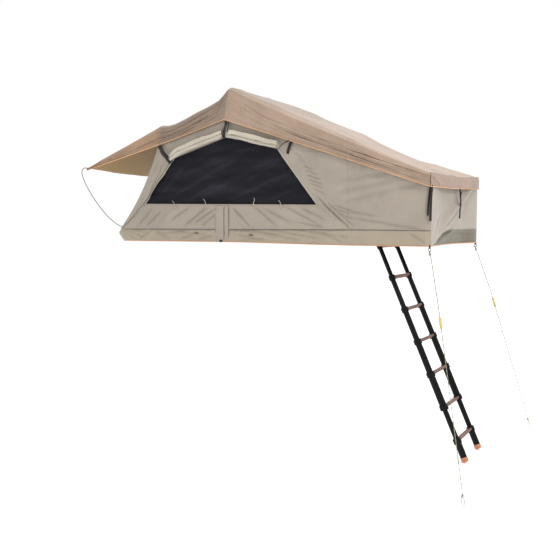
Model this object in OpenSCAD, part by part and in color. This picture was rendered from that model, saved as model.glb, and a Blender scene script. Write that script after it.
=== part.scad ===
// Fold-out roof top tent with an end vestibule, fly, telescopic ladder and guy ropes, in millimetres.
// The origin is the middle of the rack slots on the underside of the mounting rails, +X to the ladder, +Z up.

/* [Floor] */
// Length of each floor half
floor_len = 1200; // [1180:5:1260]
// Width of the floor
floor_w = 1400; // [1380:5:1500]
// Height of the floor frame
floor_t = 30; // [26:1:40]
// Width of a floor frame bar
bar_w = 30; // [26:1:40]
// Width of the ledge that carries the floor panel
ledge_w = 12; // [8:1:14]
// Thickness of that ledge
ledge_t = 8; // [5:1:10]
// Thickness of the mattress
mattress_t = 60; // [40:5:65]
// Distance from the mattress to the edges of the floor
mattress_inset = 110; // [105:5:150]

/* [Mounting rails] */
// Height of a rail
rail_h = 30; // [26:1:40]
// Width of a rail
rail_w = 50; // [40:1:60]
// Wall of a rail
rail_wall = 3; // [2:0.5:4]
// Distance between the rails
rail_spacing = 900; // [700:10:1100]
// Distance between the slots along a rail
slot_spacing = 600; // [400:10:800]
// Width of a slot
slot_w = 9; // [7:0.5:11]
// Length of a slot, end to end
slot_len = 160; // [100:5:200]
// Diameter of the bolts that hold a rail to the floor
rail_bolt_d = 8; // [6:1:10]

/* [Hinges] */
// Height of the hinge pins above the floor
hinge_rise = 115; // [100:1:130]
// Thickness of a hinge plate
plate_t = 5; // [4:0.5:6]
// Foot length of a hinge plate along the floor
plate_len = 90; // [70:5:120]
// Diameter of a hinge pin
pin_d = 12; // [10:0.5:14]
// Outer radius of every eye on a pin
eye_r = 16; // [14:0.5:20]

/* [Hoops] */
// Diameter of the hoop tubes
hoop_d = 19; // [16:0.5:22]
// Bend radius of the hoop corners
hoop_bend = 120; // [100:5:140]
// Length of the centre hoop from its pins
centre_r = 1140; // [1120:5:1160]
// Step in length from one hoop to the next
hoop_step = 28; // [26:1:34]
// Lean of the right hoop above the fold-out floor, degrees
right_lean = 47; // [40:1:55]
// Lean of the left hoop above the fixed floor, degrees
left_lean = 48.9; // [44:0.1:55]

/* [Vestibule] */
// Reach of the vestibule past the fold-out floor
vestibule_len = 716; // [500:5:760]
// Height of the vestibule roof at its end, above the floor
vestibule_h = 447; // [400:5:500]
// Diameter of a vestibule rod
rod_d = 8; // [6:0.5:10]
// Height of a vestibule rod's pivot above the floor
rod_rise = 78; // [72:1:84]

/* [Fabric] */
// Thickness of the cloth solids
cloth_t = 2.5; // [1.5:0.1:4]
// Depth of the skirt below the floor
skirt_drop = 120; // [90:5:140]
// Depth of the vestibule walls below the floor
vestibule_drop = 140; // [100:5:160]
// Depth of the skirt folds
skirt_fold = 9; // [4:1:14]
// Reach of the awning past the left hoop
awning_reach = 837; // [600:10:900]
// Drop of the awning over that reach
awning_drop = 370; // [300:10:450]
// Drop of the fly below its ridge
fly_drop = 300; // [270:5:340]
// Height of the valance at the vestibule end
valance = 104; // [80:2:120]
// Height of the window sill above the floor
sill_h = 222; // [180:2:260]
// Diameter of a rolled window flap
roll_d = 72; // [56:2:80]
// Width of the webbing
strap_w = 32; // [15:1:40]

/* [Ladder] */
// Distance from rung to rung
rung_pitch = 300; // [280:5:320]
// Distance from the pivot to the first rung
first_rung = 88; // [80:1:100]
// Lean of the ladder from vertical, degrees
ladder_lean = 23.67; // [15:0.01:30]
// Distance between the middles of the two ladder rails
ladder_w = 436; // [400:2:460]
// Diameter of the top ladder tubes
tube_d = 38; // [34:1:42]
// Step in diameter from one tube to the next
tube_step = 6; // [5:0.5:7]
// Wall of a ladder tube
tube_wall = 2.5; // [1.8:0.1:2.6]
// Length of tube that stays inside the next one
tube_overlap = 50; // [40:5:60]
// Diameter of the leg tubes
leg_d = 46; // [40:1:50]
// Depth of a rung from front to back
rung_depth = 46; // [36:1:50]
// Height of a rung
rung_h = 30; // [24:1:36]
// Distance from the last rung to the tip of a foot
foot_len = 187; // [150:1:220]

/* [Guy ropes] */
// Diameter of a guy rope
rope_d = 6; // [4:0.5:8]
// Length of a tensioner
tensioner_len = 84; // [60:2:100]

/* [Hidden] */
gap = 0.3;
pin_gap = 0.1;
slide_gap = 0.5;
joint_gap = 0.2;
fn_round = 64;

half_w = floor_w / 2;
x_hinge = floor_len / 2;
z_floor = rail_h + floor_t;
ladder_rail = ladder_w / 2;
box_w = bar_w - ledge_w;
panel_t = floor_t - ledge_t;
u_end = floor_len;
u_tip = floor_len + vestibule_len;
hoop_rad = hoop_d / 2;
hem_z = -vestibule_drop;

// Stack of plates and eyes on a hinge pin, as distances from the middle of the tent
wall_room = 5;
plate_out = half_w - wall_room;
fixed_plate_y = plate_out - plate_t;
fold_plate_y = fixed_plate_y - 1 - plate_t;
eye_t = 6;
centre_y = fold_plate_y - 1 - eye_t / 2 - 25;
hoop_pitch = hoop_d + 4;
right_y = centre_y - hoop_pitch;
left_y = right_y - hoop_pitch;
rod_y = half_w - 12;

// Hoops: length, distance from the middle and angle from the fold-out floor
right_r = centre_r - hoop_step;
left_r = right_r - hoop_step;
left_angle = 180 - left_lean;
function hoop_u(r, angle) = r * cos(angle);
function hoop_z(r, angle) = hinge_rise + r * sin(angle);
u_left = hoop_u(left_r, left_angle);
z_left = hoop_z(left_r, left_angle);
u_right = hoop_u(right_r, right_lean);
z_right = hoop_z(right_r, right_lean);
z_ridge = hoop_z(centre_r, 90);
u_awning = u_left - awning_reach;

// Vestibule rods, from their pivots near the floor's end to the corners of the roof
rod_u = u_end - 20;
rod_tip_u = u_tip - 26;
rod_tip_z = vestibule_h - 22;
rod_eye_t = rod_d + 0.4;
rod_len = norm([rod_tip_u - rod_u, rod_tip_z - rod_rise]);
rod_angle = atan2(rod_tip_z - rod_rise, rod_tip_u - rod_u);

// Fly: heights above the floor, how far the cloth lifts off the hoops, and widths, along the tent
lift = hoop_rad + 11;
fly_crest = 20;
fly_dip = 12;
dip = 0.35;
fly_top = [
    [u_awning, z_left + lift - awning_drop],
    [u_left, z_left + lift + fly_crest],
    [dip * u_left, z_ridge + lift - dip * (z_ridge - z_left - fly_crest) - fly_dip],
    [0, z_ridge + lift],
    [u_right, z_right + lift],
    [u_tip, vestibule_h],
];
fly_low = [
    [u_awning, z_left + lift - awning_drop - 12],
    [0, z_ridge + lift - fly_drop],
    [u_tip, vestibule_h - valance],
];
fly_hip_y = [[u_awning, half_w + 118], [u_left, half_w + 6], [0, centre_y - 27], [u_tip, half_w + 32]];
fly_low_y = [[u_awning, half_w + 120], [u_left, half_w + 42], [0, half_w + 25], [u_tip, half_w + 42]];
fly_round = [[u_awning, 6], [u_left, 56], [0, 60], [u_right, 50], [u_tip, 20]];
fly_sag = [
    [u_awning, 30], [u_left, 0], [u_left / 2, 46], [0, 0], [u_right / 2, 12], [u_right, 0], [u_tip, 14],
];
eave_drop = [
    [u_left, 118 + fly_crest], [dip * u_left, 250 - dip * (132 - fly_crest) - fly_dip], [0, 250], [u_tip, 72],
];
wall_bow = 42;
strap_t = 2;
roof_drop = 6.5;

// Windows in the side walls, as points along the tent and above the floor
window_left_foot = -926;
window_left_top = [-567, 658];
window_apex = [20, 822];
window_right_top = [534, 684];
window_right_foot = 905;
window_rim = 14;
end_window_w = 820;
end_window_low = 250;
end_window_high = 640;
end_window_taper = 60;

// Ladder: places along it, from its pivot
ladder_u = u_end + 62;
ladder_z = -75;
ladder_top_len = 34;
leg_plug = 18;
collar_h = 44;
foot_cap_h = 42;
function rung_at(i) = first_rung + i * rung_pitch;
function tube_diameter(i) = tube_d + i * tube_step;
sleeve_d = leg_d + 2 * slide_gap + 11;

// Guy ropes: hand-chosen points of the near rope; the far rope mirrors them
rope_hook = [2507, -705, -104];
rope_points = [
    [2511, -711, -138], [2509, -716, -124], [2507, -713, -113], [2507, -705, -110.4], [2507, -697, -113],
    [2508, -694, -124], [2511, -703, -138], [2530, -724, -190], [2580, -784, -370], [2630, -843, -550],
    [2680, -903, -760], [2740, -974, -1010], [2800, -1045, -1262], [2860, -1116, -1514], [2920, -1186, -1766],
    [2936, -1206, -1842], [2950, -1212, -1872], [2958, -1224, -1896], [2950, -1238, -1906], [2938, -1242, -1892],
    [2934, -1230, -1866], [2936, -1212, -1846],
];
rope_sides = 8;
tensioner_from = [2630, -843, -550];
tensioner_to = [2680, -903, -760];

// Awning rods: hand-chosen points along the tent from the floor's end, out past the floor's side and up;
// the points beyond the floor's end spread with the awning, whose tip they were chosen to meet
awning_rod_reach = 349.6;
awning_rod_points = [
    [46, -18, 12], [-10, -11, 12], [-50, -3, 22], [-105, 16, 58], [-171, 40, 117], [-246, 70, 213],
    [-305, 92, 300], [-349, 110, 380], [-388, 128, 465], [-408, 137, 545], [-402, 134, 580], [-378, 127, 594],
    [-346, 117, 590],
];
awning_rod_d = 7;
socket = [34, 22, 24];

// Frames and shapes that repeat

// Puts the hinge line at floor height at the origin
module hinge_frame() {
    translate([x_hinge, 0, z_floor]) children();
}

// Copies a near or far piece to the other side
module both_sides() {
    children();
    mirror([0, 1, 0]) children();
}

// A round bar between two points
module rod(from, to, r) {
    along = to - from;
    length = norm(along);
    translate(from)
        rotate([0, acos(along[2] / length), atan2(along[1], along[0])])
            cylinder(h = length, r = r, $fn = fn_round);
}

// A flat plate drawn along the tent and upwards, from y to y + t
module side_plate(points, y, t) {
    translate([0, y + t, 0])
        rotate([90, 0, 0])
            linear_extrude(t)
                polygon(points);
}

// A closed thin solid between two grids of points with the same rows and columns
module sheet(outer, inner) {
    rows = len(outer);
    cols = len(outer[0]);
    points = concat([for (row = outer) each row], [for (row = inner) each row]);
    function at(i, j, s) = s * rows * cols + i * cols + j;
    function quad(a, b, c, d) = [[a, b, c], [a, c, d]];
    faces = concat(
        [for (i = [0:rows - 2], j = [0:cols - 2])
            each quad(at(i, j, 0), at(i, j + 1, 0), at(i + 1, j + 1, 0), at(i + 1, j, 0))],
        [for (i = [0:rows - 2], j = [0:cols - 2])
            each quad(at(i, j, 1), at(i + 1, j, 1), at(i + 1, j + 1, 1), at(i, j + 1, 1))],
        [for (j = [0:cols - 2])
            each quad(at(0, j, 0), at(0, j, 1), at(0, j + 1, 1), at(0, j + 1, 0))],
        [for (j = [0:cols - 2])
            each quad(at(rows - 1, j, 0), at(rows - 1, j + 1, 0), at(rows - 1, j + 1, 1), at(rows - 1, j, 1))],
        [for (i = [0:rows - 2])
            each quad(at(i, 0, 0), at(i + 1, 0, 0), at(i + 1, 0, 1), at(i, 0, 1))],
        [for (i = [0:rows - 2])
            each quad(at(i, cols - 1, 0), at(i, cols - 1, 1), at(i + 1, cols - 1, 1), at(i + 1, cols - 1, 0))]
    );
    polyhedron(points, faces);
}

// A round tube swept along points, with the same number of sides all the way
module cord(points, r, sides) {
    last = len(points) - 1;
    function unit(v) = v / norm(v);
    function tangent(i) = unit(points[min(i + 1, last)] - points[max(i - 1, 0)]);
    function carried(n, t) = unit(n - (n * t) * t);
    first = tangent(0);
    seed = abs(first[2]) < 0.9 ? [0, 0, 1] : [1, 0, 0];
    normals = [for (i = 0, n = carried(seed, first); i <= last; i = i + 1,
        n = i <= last ? carried(n, tangent(i)) : n) n];
    ring = [for (i = [0:last]) let (t = tangent(i), n = normals[i], b = cross(t, n))
        [for (k = [0:sides - 1]) points[i] + r * (n * cos(360 * k / sides) + b * sin(360 * k / sides))]];
    function at(i, k) = i * sides + k % sides;
    faces = concat(
        [for (i = [0:last - 1], k = [0:sides - 1])
            each [[at(i, k), at(i + 1, k), at(i + 1, k + 1)], [at(i, k), at(i + 1, k + 1), at(i, k + 1)]]],
        [for (k = [1:sides - 2]) [at(0, 0), at(0, k), at(0, k + 1)]],
        [for (k = [1:sides - 2]) [at(last, 0), at(last, k + 1), at(last, k)]]
    );
    polyhedron([for (row = ring) each row], faces);
}

// Floors

module floor_panel(u0, u1) {
    inset = box_w + gap;
    hinge_frame()
        translate([u0 + inset, -half_w + inset, -panel_t])
            cube([u1 - u0 - 2 * inset, floor_w - 2 * inset, panel_t]);
}

// A picture frame of extruded bars with a ledge for the panel and a groove for the hem of the cloth
module floor_frame(u0, u1) {
    length = u1 - u0;
    groove_w = 8;
    groove_d = 5;
    hinge_frame()
        translate([u0, 0, -floor_t])
            difference() {
                translate([0, -half_w, 0]) cube([length, floor_w, floor_t]);
                translate([box_w, -half_w + box_w, ledge_t])
                    cube([length - 2 * box_w, floor_w - 2 * box_w, floor_t]);
                translate([bar_w, -half_w + bar_w, -1])
                    cube([length - 2 * bar_w, floor_w - 2 * bar_w, floor_t]);
                both_sides()
                    translate([-1, half_w - groove_d, (floor_t - groove_w) / 2])
                        cube([length + 2, groove_d + 1, groove_w]);
            }
}

module fixed_floor_panel() {
    color("gainsboro") floor_panel(-floor_len, -joint_gap);
}

module fixed_floor_frame() {
    color("silver")
        difference() {
            floor_frame(-floor_len, -joint_gap);
            rail_bolt_places()
                translate([0, 0, rail_h - 1]) cylinder(d = rail_bolt_d + 0.4, h = 16, $fn = fn_round);
        }
}

module fold_floor_panel() {
    color("gainsboro") floor_panel(joint_gap, u_end);
}

module fold_floor_frame() {
    color("silver") floor_frame(joint_gap, u_end);
}

module mattress(u0, u1) {
    corner = 40;
    edge = 12;
    length = u1 - u0;
    width = floor_w - 2 * mattress_inset;
    steps = [
        [edge, 0], [0, edge], [0, mattress_t - 3 * edge], [edge, mattress_t - edge], [5 * edge, mattress_t],
    ];
    function outline(inset) = [for (c = [[1, 1], [-1, 1], [-1, -1], [1, -1]], a = [0:30:90])
        let (turn = c == [1, 1] ? 0 : c == [-1, 1] ? 90 : c == [-1, -1] ? 180 : 270)
        [c[0] * (length / 2 - corner) + (corner - min(inset, corner - 1)) * cos(a + turn)
                - c[0] * max(0, inset - corner + 1),
            c[1] * (width / 2 - corner) + (corner - min(inset, corner - 1)) * sin(a + turn)
                - c[1] * max(0, inset - corner + 1)]];
    rings = [for (s = steps) [for (p = outline(s[0])) [p[0], p[1], s[1]]]];
    n = len(rings[0]);
    top = len(rings) - 1;
    hinge_frame()
        translate([(u0 + u1) / 2, 0, gap])
            polyhedron(
                [for (r = rings) each r],
                concat(
                    [for (i = [0:top - 1], k = [0:n - 1])
                        each [[i * n + k, (i + 1) * n + k, (i + 1) * n + (k + 1) % n],
                            [i * n + k, (i + 1) * n + (k + 1) % n, i * n + (k + 1) % n]]],
                    [for (k = [1:n - 2]) [0, k, k + 1]],
                    [for (k = [1:n - 2]) [top * n, top * n + k + 1, top * n + k]]
                )
            );
}

module mattress_fixed() {
    color("dimgray") mattress(-floor_len + 40, -30);
}

module mattress_fold() {
    color("dimgray") mattress(30, u_end - 40);
}

// Mounting rails

module rail_places() {
    for (side = [-1, 1]) translate([0, side * rail_spacing / 2, 0]) children();
}

module rail_bolt_places() {
    for (end = [-1, 1])
        rail_places() translate([end * (x_hinge - box_w / 2), 0, 0]) children();
}

module mounting_rails() {
    color("silver")
        difference() {
            rail_places()
                difference() {
                    translate([-x_hinge, -rail_w / 2, 0]) cube([floor_len - joint_gap, rail_w, rail_h]);
                    translate([-x_hinge - 1, -rail_w / 2 + rail_wall, rail_wall])
                        cube([floor_len + 2, rail_w - 2 * rail_wall, rail_h - 2 * rail_wall]);
                    for (end = [-1, 1]) translate([end * slot_spacing / 2, 0, -1]) rail_slot();
                }
            rail_bolt_places()
                translate([0, 0, rail_h - rail_wall - 1])
                    cylinder(d = rail_bolt_d + 0.4, h = rail_wall + 2, $fn = fn_round);
        }
}

// One slot through the rail's underside
module rail_slot() {
    reach = slot_len / 2 - slot_w / 2;
    for (end = [-1, 1])
        translate([end * reach, 0, 0]) cylinder(d = slot_w, h = rail_wall + 2, $fn = fn_round);
    translate([-reach, -slot_w / 2, 0]) cube([2 * reach, slot_w, rail_wall + 2]);
}

module rail_bolts() {
    head_h = 6;
    color("dimgray")
        rail_bolt_places() {
            translate([0, 0, rail_h - rail_wall - head_h - joint_gap])
                cylinder(d = rail_bolt_d * 1.8, h = head_h, $fn = 6);
            translate([0, 0, rail_h - rail_wall - head_h])
                cylinder(d = rail_bolt_d, h = head_h + 14, $fn = fn_round);
        }
}

// Hinges

// A plate whose foot stands on its own floor half, with its eye on the hinge line
module hinge_plate(side, y) {
    foot_w = 22;
    both_sides()
        hinge_frame() {
            difference() {
                union() {
                    side_plate([[side * 4, 0], [side * (4 + plate_len), 0], [side * (plate_len - 6), 24],
                        [side * eye_r * 0.9, hinge_rise + 4], [-side * eye_r * 0.2, hinge_rise],
                        [side * 4, hinge_rise - 2 * eye_r]], -y - plate_t, plate_t);
                    translate([0, -y, hinge_rise])
                        rotate([90, 0, 0])
                            cylinder(r = eye_r, h = plate_t, $fn = fn_round);
                    translate([min(side * 4, side * (4 + plate_len)), -y - plate_t, 0])
                        cube([plate_len, foot_w, 4]);
                }
                translate([0, -y + 1, hinge_rise])
                    rotate([90, 0, 0]) cylinder(d = pin_d + 2 * pin_gap, h = plate_t + 2, $fn = fn_round);
            }
        }
}

module fixed_hinge_plates() {
    color("dimgray") hinge_plate(-1, fixed_plate_y);
}

module fold_hinge_plates() {
    color("gray") hinge_plate(1, fold_plate_y);
}

// Pins through the plates and hoop eyes, with a head inside, a nut outside and spacers between the eyes
module hinge_pins() {
    head_h = 6;
    inner = left_y - eye_t / 2 - 1;
    outer = plate_out + 0.6;
    stack = [
        [left_y + eye_t / 2, right_y - eye_t / 2],
        [right_y + eye_t / 2, centre_y - eye_t / 2],
        [centre_y + eye_t / 2, fold_plate_y],
    ];
    color("darkgray")
        both_sides()
            hinge_frame()
                translate([0, 0, hinge_rise])
                    rotate([90, 0, 0]) {
                        translate([0, 0, inner]) cylinder(d = pin_d, h = plate_out + 4 - inner, $fn = fn_round);
                        translate([0, 0, inner - head_h]) cylinder(d = pin_d * 1.7, h = head_h, $fn = fn_round);
                        translate([0, 0, outer]) cylinder(d = pin_d * 1.7, h = 3.6, $fn = 6);
                        for (s = stack)
                            translate([0, 0, s[0] + gap])
                                difference() {
                                    cylinder(d = pin_d + 7, h = s[1] - s[0] - 2 * gap, $fn = fn_round);
                                    translate([0, 0, -1])
                                        cylinder(d = pin_d + 2 * pin_gap, h = s[1] - s[0] + 2, $fn = fn_round);
                                }
                    }
}

// Hoops

// A hoop of bent tube standing on its eyes: two legs, two corner sleeves and a crossbar
module hoop(r, y, angle) {
    eye_len = 46;
    straight = r - hoop_bend;
    side_y = y - hoop_bend;
    sleeve = 1.4;
    hinge_frame()
        translate([0, 0, hinge_rise])
            rotate([0, 90 - angle, 0]) {
                both_sides() {
                    translate([0, -y, 0])
                        difference() {
                            union() {
                                rotate([90, 0, 0])
                                    translate([0, 0, -eye_t / 2]) cylinder(r = eye_r, h = eye_t, $fn = fn_round);
                                translate([-eye_r * 0.75, -eye_t / 2, 0]) cube([eye_r * 1.5, eye_t, eye_len]);
                            }
                            rotate([90, 0, 0])
                                cylinder(d = pin_d + 2 * pin_gap, h = eye_t + 2, center = true, $fn = fn_round);
                        }
                    translate([0, -y, eye_len + joint_gap])
                        cylinder(r = hoop_rad, h = straight - eye_len - 2 * joint_gap, $fn = fn_round);
                    translate([0, -side_y, straight])
                        rotate([90, 0, -90])
                            rotate_extrude(angle = 90, $fn = 96)
                                translate([hoop_bend, 0]) circle(r = hoop_rad + sleeve, $fn = fn_round);
                }
                translate([0, -side_y + joint_gap, r])
                    rotate([-90, 0, 0]) cylinder(r = hoop_rad, h = 2 * side_y - 2 * joint_gap, $fn = fn_round);
            }
}

module centre_hoop() {
    color("slategray") hoop(centre_r, centre_y, 90);
}

module right_hoop() {
    color("slategray") hoop(right_r, right_y, right_lean);
}

module left_hoop() {
    color("slategray") hoop(left_r, left_y, left_angle);
}

// Vestibule rods on their pivots

module vestibule_rods() {
    color("dimgray")
        both_sides()
            hinge_frame()
                translate([rod_u, -rod_y, rod_rise])
                    rotate([0, 90 - rod_angle, 0]) {
                        difference() {
                            rotate([90, 0, 0])
                                cylinder(r = rod_d + 2, h = rod_eye_t, center = true, $fn = fn_round);
                            rotate([90, 0, 0])
                                cylinder(d = rod_d + 2 * pin_gap, h = 2 * rod_eye_t, center = true, $fn = fn_round);
                        }
                        translate([0, 0, rod_d + 2 + joint_gap])
                            cylinder(d = rod_d, h = rod_len - rod_d - 12, $fn = fn_round);
                        translate([0, 0, rod_len - 6]) sphere(d = rod_d * 1.5, $fn = 24);
                    }
}

// Pairs of cheeks on the floor frame, each pair with the pin that a vestibule rod turns on
module rod_brackets() {
    cheek_t = 3;
    cheek_w = 30;
    color("gray")
        both_sides()
            hinge_frame()
                translate([rod_u, -rod_y, 0]) {
                    for (side = [-1, 1])
                        translate([-cheek_w / 2, side * (rod_eye_t / 2 + gap + cheek_t / 2) - cheek_t / 2, 0])
                            difference() {
                                cube([cheek_w, cheek_t, rod_rise + rod_d + 2]);
                                translate([cheek_w / 2, -1, rod_rise])
                                    rotate([-90, 0, 0])
                                        cylinder(d = rod_d + 2 * pin_gap, h = cheek_t + 2, $fn = fn_round);
                            }
                    pin_l = rod_eye_t + 2 * (gap + cheek_t + 1);
                    translate([0, 0, rod_rise])
                        rotate([90, 0, 0]) cylinder(d = rod_d, h = pin_l, center = true, $fn = fn_round);
                }
}

// Fly and roof

function top_z(u) = lookup(u, fly_top);
function low_z(u) = lookup(u, fly_low);

// Half a section across the fly, from its near lower edge to the middle; drop and shrink give the roof
function fly_half(u, drop, shrink, low) = let (
        z = top_z(u) - drop,
        hip = lookup(u, fly_hip_y) - shrink,
        round = lookup(u, fly_round),
        sag = lookup(u, fly_sag)
    ) [
        [low[0], low[1]],
        [hip + 0.6 * round, max(z - 1.2 * round, low[1] + 1)],
        [hip + 0.35 * round, z - 0.35 * round],
        [hip - 0.4 * round, z],
        [hip / 2, z - 0.8 * sag],
        [0, z - sag],
    ];

// Both halves of a section, and the same section set in by t
function across(half) = concat(
    [for (p = half) [-p[0], p[1]]],
    [for (i = [len(half) - 2:-1:0]) half[i]]
);
function set_in(points, t) = let (last = len(points) - 1)
    [for (i = [0:last]) let (
            d = points[min(i + 1, last)] - points[max(i - 1, 0)],
            n = [d[1], -d[0]] / norm(d)
        ) points[i] + t * n];

// A stretch of cloth across the tent between two places along it
module canopy(u0, u1, steps, drop, shrink, low, t) {
    stations = [for (i = [0:steps]) u0 + (u1 - u0) * i / steps];
    sections = [for (u = stations) across(fly_half(u, drop, shrink, low(u)))];
    outer = [for (i = [0:steps]) [for (p = sections[i]) [stations[i], p[0], p[1]]]];
    inner = [for (i = [0:steps]) [for (p = set_in(sections[i], t)) [stations[i], p[0], p[1]]]];
    hinge_frame() sheet(outer, inner);
}

fly_edge = function (u) [lookup(u, fly_low_y), low_z(u)];
roof_edge = function (u) [half_w + cloth_t / 2, eave_z(u) + 1];
function eave_z(u) = top_z(u) - lookup(u, eave_drop);

module fly_awning() {
    color("tan") canopy(u_awning, u_left - 14, 6, 0, 0, fly_edge, cloth_t);
}

module fly_left() {
    color("tan") canopy(u_left - 14 + joint_gap, -joint_gap, 8, 0, 0, fly_edge, cloth_t);
}

module fly_right() {
    color("tan") canopy(joint_gap, u_end, 10, 0, 0, fly_edge, cloth_t);
}

// The end of the fly, with the valance that hangs across the vestibule's end
module fly_vestibule() {
    color("tan") {
        canopy(u_end + joint_gap, u_tip, 6, 0, 0, fly_edge, cloth_t);
        hinge_frame()
            translate([u_tip + joint_gap, 0, 0])
                rotate([90, 0, 90])
                    linear_extrude(cloth_t)
                        polygon(across(fly_half(u_tip, 0, 0, fly_edge(u_tip))));
    }
}

module roof_fixed() {
    color("darkkhaki") canopy(u_left, -joint_gap, 8, roof_drop, 8, roof_edge, cloth_t / 2);
}

module roof_fold() {
    color("darkkhaki") canopy(joint_gap, u_end, 10, roof_drop, 8, roof_edge, cloth_t / 2);
}

module vestibule_roof() {
    color("darkkhaki") canopy(u_end + joint_gap, u_tip - 6, 6, roof_drop, 8, roof_edge, cloth_t / 2);
}

// Walls

// Left edge of the walls, from the floor up to the eave at the left hoop
wall_lean_top = [u_left - 30, eave_z(u_left)];
function left_edge(t) = [
    -floor_len + t * (wall_lean_top[0] + floor_len) + wall_bow * sin(180 * t),
    t * wall_lean_top[1],
];

// Opening of a side window between two places along the tent, grown by a margin
function window_z(u) = lookup(u, [window_left_top, window_apex, window_right_top]);
function window_fixed(m) = [
    [window_left_foot - m, sill_h - m],
    [window_left_top[0] - m, window_left_top[1]],
    [window_left_top[0] + 40, window_z(window_left_top[0] + 40) + m],
    [-joint_gap - 8 + m / 2, window_z(0) + m],
    [-joint_gap - 8 + m / 2, sill_h - m],
];
function window_fold(m) = [
    [joint_gap + 8 - m / 2, sill_h - m],
    [joint_gap + 8 - m / 2, window_z(0) + m],
    [window_apex[0], window_apex[1] + m],
    [window_right_top[0] - 30, window_z(window_right_top[0] - 30) + m],
    [window_right_top[0] + m, window_right_top[1]],
    [window_right_foot + m, sill_h - m],
];

module side_walls(outline, window) {
    both_sides()
        hinge_frame()
            difference() {
                side_plate(outline, -half_w - gap - cloth_t, cloth_t);
                side_plate(window, -half_w - gap - cloth_t - 1, cloth_t + 2);
            }
}

module side_walls_fixed() {
    left = [for (t = [0:0.125:1]) left_edge(t)];
    color("darkkhaki")
        side_walls(concat(left, [[u_left, eave_z(u_left)], [-joint_gap, eave_z(0)], [-joint_gap, 0]]),
            window_fixed(0));
}

module side_walls_fold() {
    color("darkkhaki")
        side_walls([[joint_gap, 0], [joint_gap, eave_z(0)], [u_right, eave_z(u_right)], [u_end, eave_z(u_end)],
            [u_end, 0]], window_fold(0));
}

module window_meshes(window) {
    both_sides() hinge_frame() side_plate(window, -half_w, 1);
}

module window_mesh_fixed() {
    color([0.14, 0.13, 0.16]) window_meshes(window_fixed(window_rim));
}

module window_mesh_fold() {
    color([0.14, 0.13, 0.16]) window_meshes(window_fold(window_rim));
}

// The end wall under the awning leans from the floor's end to the left hoop and has a window of its own
module end_wall_left() {
    steps = 8;
    rows = [for (i = [0:steps]) left_edge(i / steps)];
    columns = [-half_w, half_w];
    outer = [for (p = rows) [for (y = columns) [p[0] - cloth_t, y, p[1] + 0.5]]];
    inner = [for (p = rows) [for (y = columns) [p[0], y, p[1] + 0.5]]];
    color("darkkhaki")
        hinge_frame()
            difference() {
                sheet(outer, inner);
                end_window(0);
                both_sides()
                    for (i = [0, 1])
                        rod(awning_rod_at(awning_rod_points[i]), awning_rod_at(awning_rod_points[i + 1]),
                            awning_rod_d * 0.8);
            }
}

// Opening of the end window, as a block through the leaning wall, grown by a margin
module end_window(m) {
    low = end_window_low - m;
    high = end_window_high + m;
    half_low = end_window_w / 2 + m;
    half_high = half_low - end_window_taper;
    translate([-1.1 * floor_len, 0, 0])
        rotate([90, 0, 90])
            linear_extrude(0.6 * floor_len)
                polygon([[-half_low, low], [half_low, low], [half_high, high], [-half_high, high]]);
}

module window_mesh_end() {
    steps = 8;
    rows = [for (i = [0:steps]) left_edge(i / steps)];
    columns = [-half_w + 60, half_w - 60];
    outer = [for (p = rows) [for (y = columns) [p[0] + gap, y, p[1] + 0.5]]];
    inner = [for (p = rows) [for (y = columns) [p[0] + gap + 1, y, p[1] + 0.5]]];
    color([0.14, 0.13, 0.16])
        hinge_frame()
            intersection() {
                sheet(outer, inner);
                end_window(window_rim);
            }
}

// Rolled window flaps above the side windows, drawn in where the straps tie them
roll_y = half_w + 3 * gap + cloth_t + strap_t + roll_d / 2;
function roll_path(points) = [for (p = points) [p[0], -roll_y, p[1]]];
roll_rise = roll_d / 2 - 2;
roll_left_u = window_left_top[0] - 33;
roll_right_u = window_right_top[0] + 19;
left_roll = [for (s = [0:8]) let (u = roll_left_u + (-8 - roll_left_u) * s / 8)
    [u, window_z(max(u, window_left_top[0])) + roll_rise - max(0, window_left_top[0] - u) * 1.1]];
right_roll = [for (s = [0:8]) let (u = 8 + (roll_right_u - 8) * s / 8)
    [u, window_z(min(u, window_right_top[0])) + roll_rise]];

module window_roll(points) {
    both_sides() hinge_frame() cord(roll_path(points), roll_d / 2, 12);
}

module window_rolls_fixed() {
    color("darkkhaki") window_roll(left_roll);
}

module window_rolls_fold() {
    color("darkkhaki") window_roll(right_roll);
}

// A strap round a roll at a place along it, with its tail up to the fly
module roll_strap(points, i) {
    path = roll_path(points);
    along = path[i + 1] - path[i];
    slope = atan2(along[2], along[0]);
    tail = low_z(path[i][0]) - path[i][2] - roll_d / 2 - 20;
    both_sides()
        hinge_frame()
            translate(path[i] + along / 2)
                rotate([0, -slope, 0]) {
                    rotate([0, 90, 0])
                        difference() {
                            cylinder(r = roll_d / 2 + gap + strap_t, h = strap_w, center = true, $fn = fn_round);
                            cylinder(r = roll_d / 2 + gap, h = strap_w + 2, center = true, $fn = fn_round);
                        }
                    translate([-strap_w / 2, -strap_t / 2, roll_d / 2 + gap + 1])
                        cube([strap_w, strap_t, max(tail, 6)]);
                }
}

module roll_straps_fixed() {
    color([0.1, 0.1, 0.1])
        for (i = [0, 7]) roll_strap(left_roll, i);
}

module roll_straps_fold() {
    color([0.1, 0.1, 0.1]) roll_strap(right_roll, 7);
}

// Skirts with their folds, hanging from the edge of the floor
function skirt_y(u, f) = half_w + gap + skirt_fold * f * (0.5 - 0.5 * cos(u * 1.5));
function skirt_depth(u) = skirt_drop + (vestibule_drop - skirt_drop) * max(0, u) / u_end;

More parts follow.
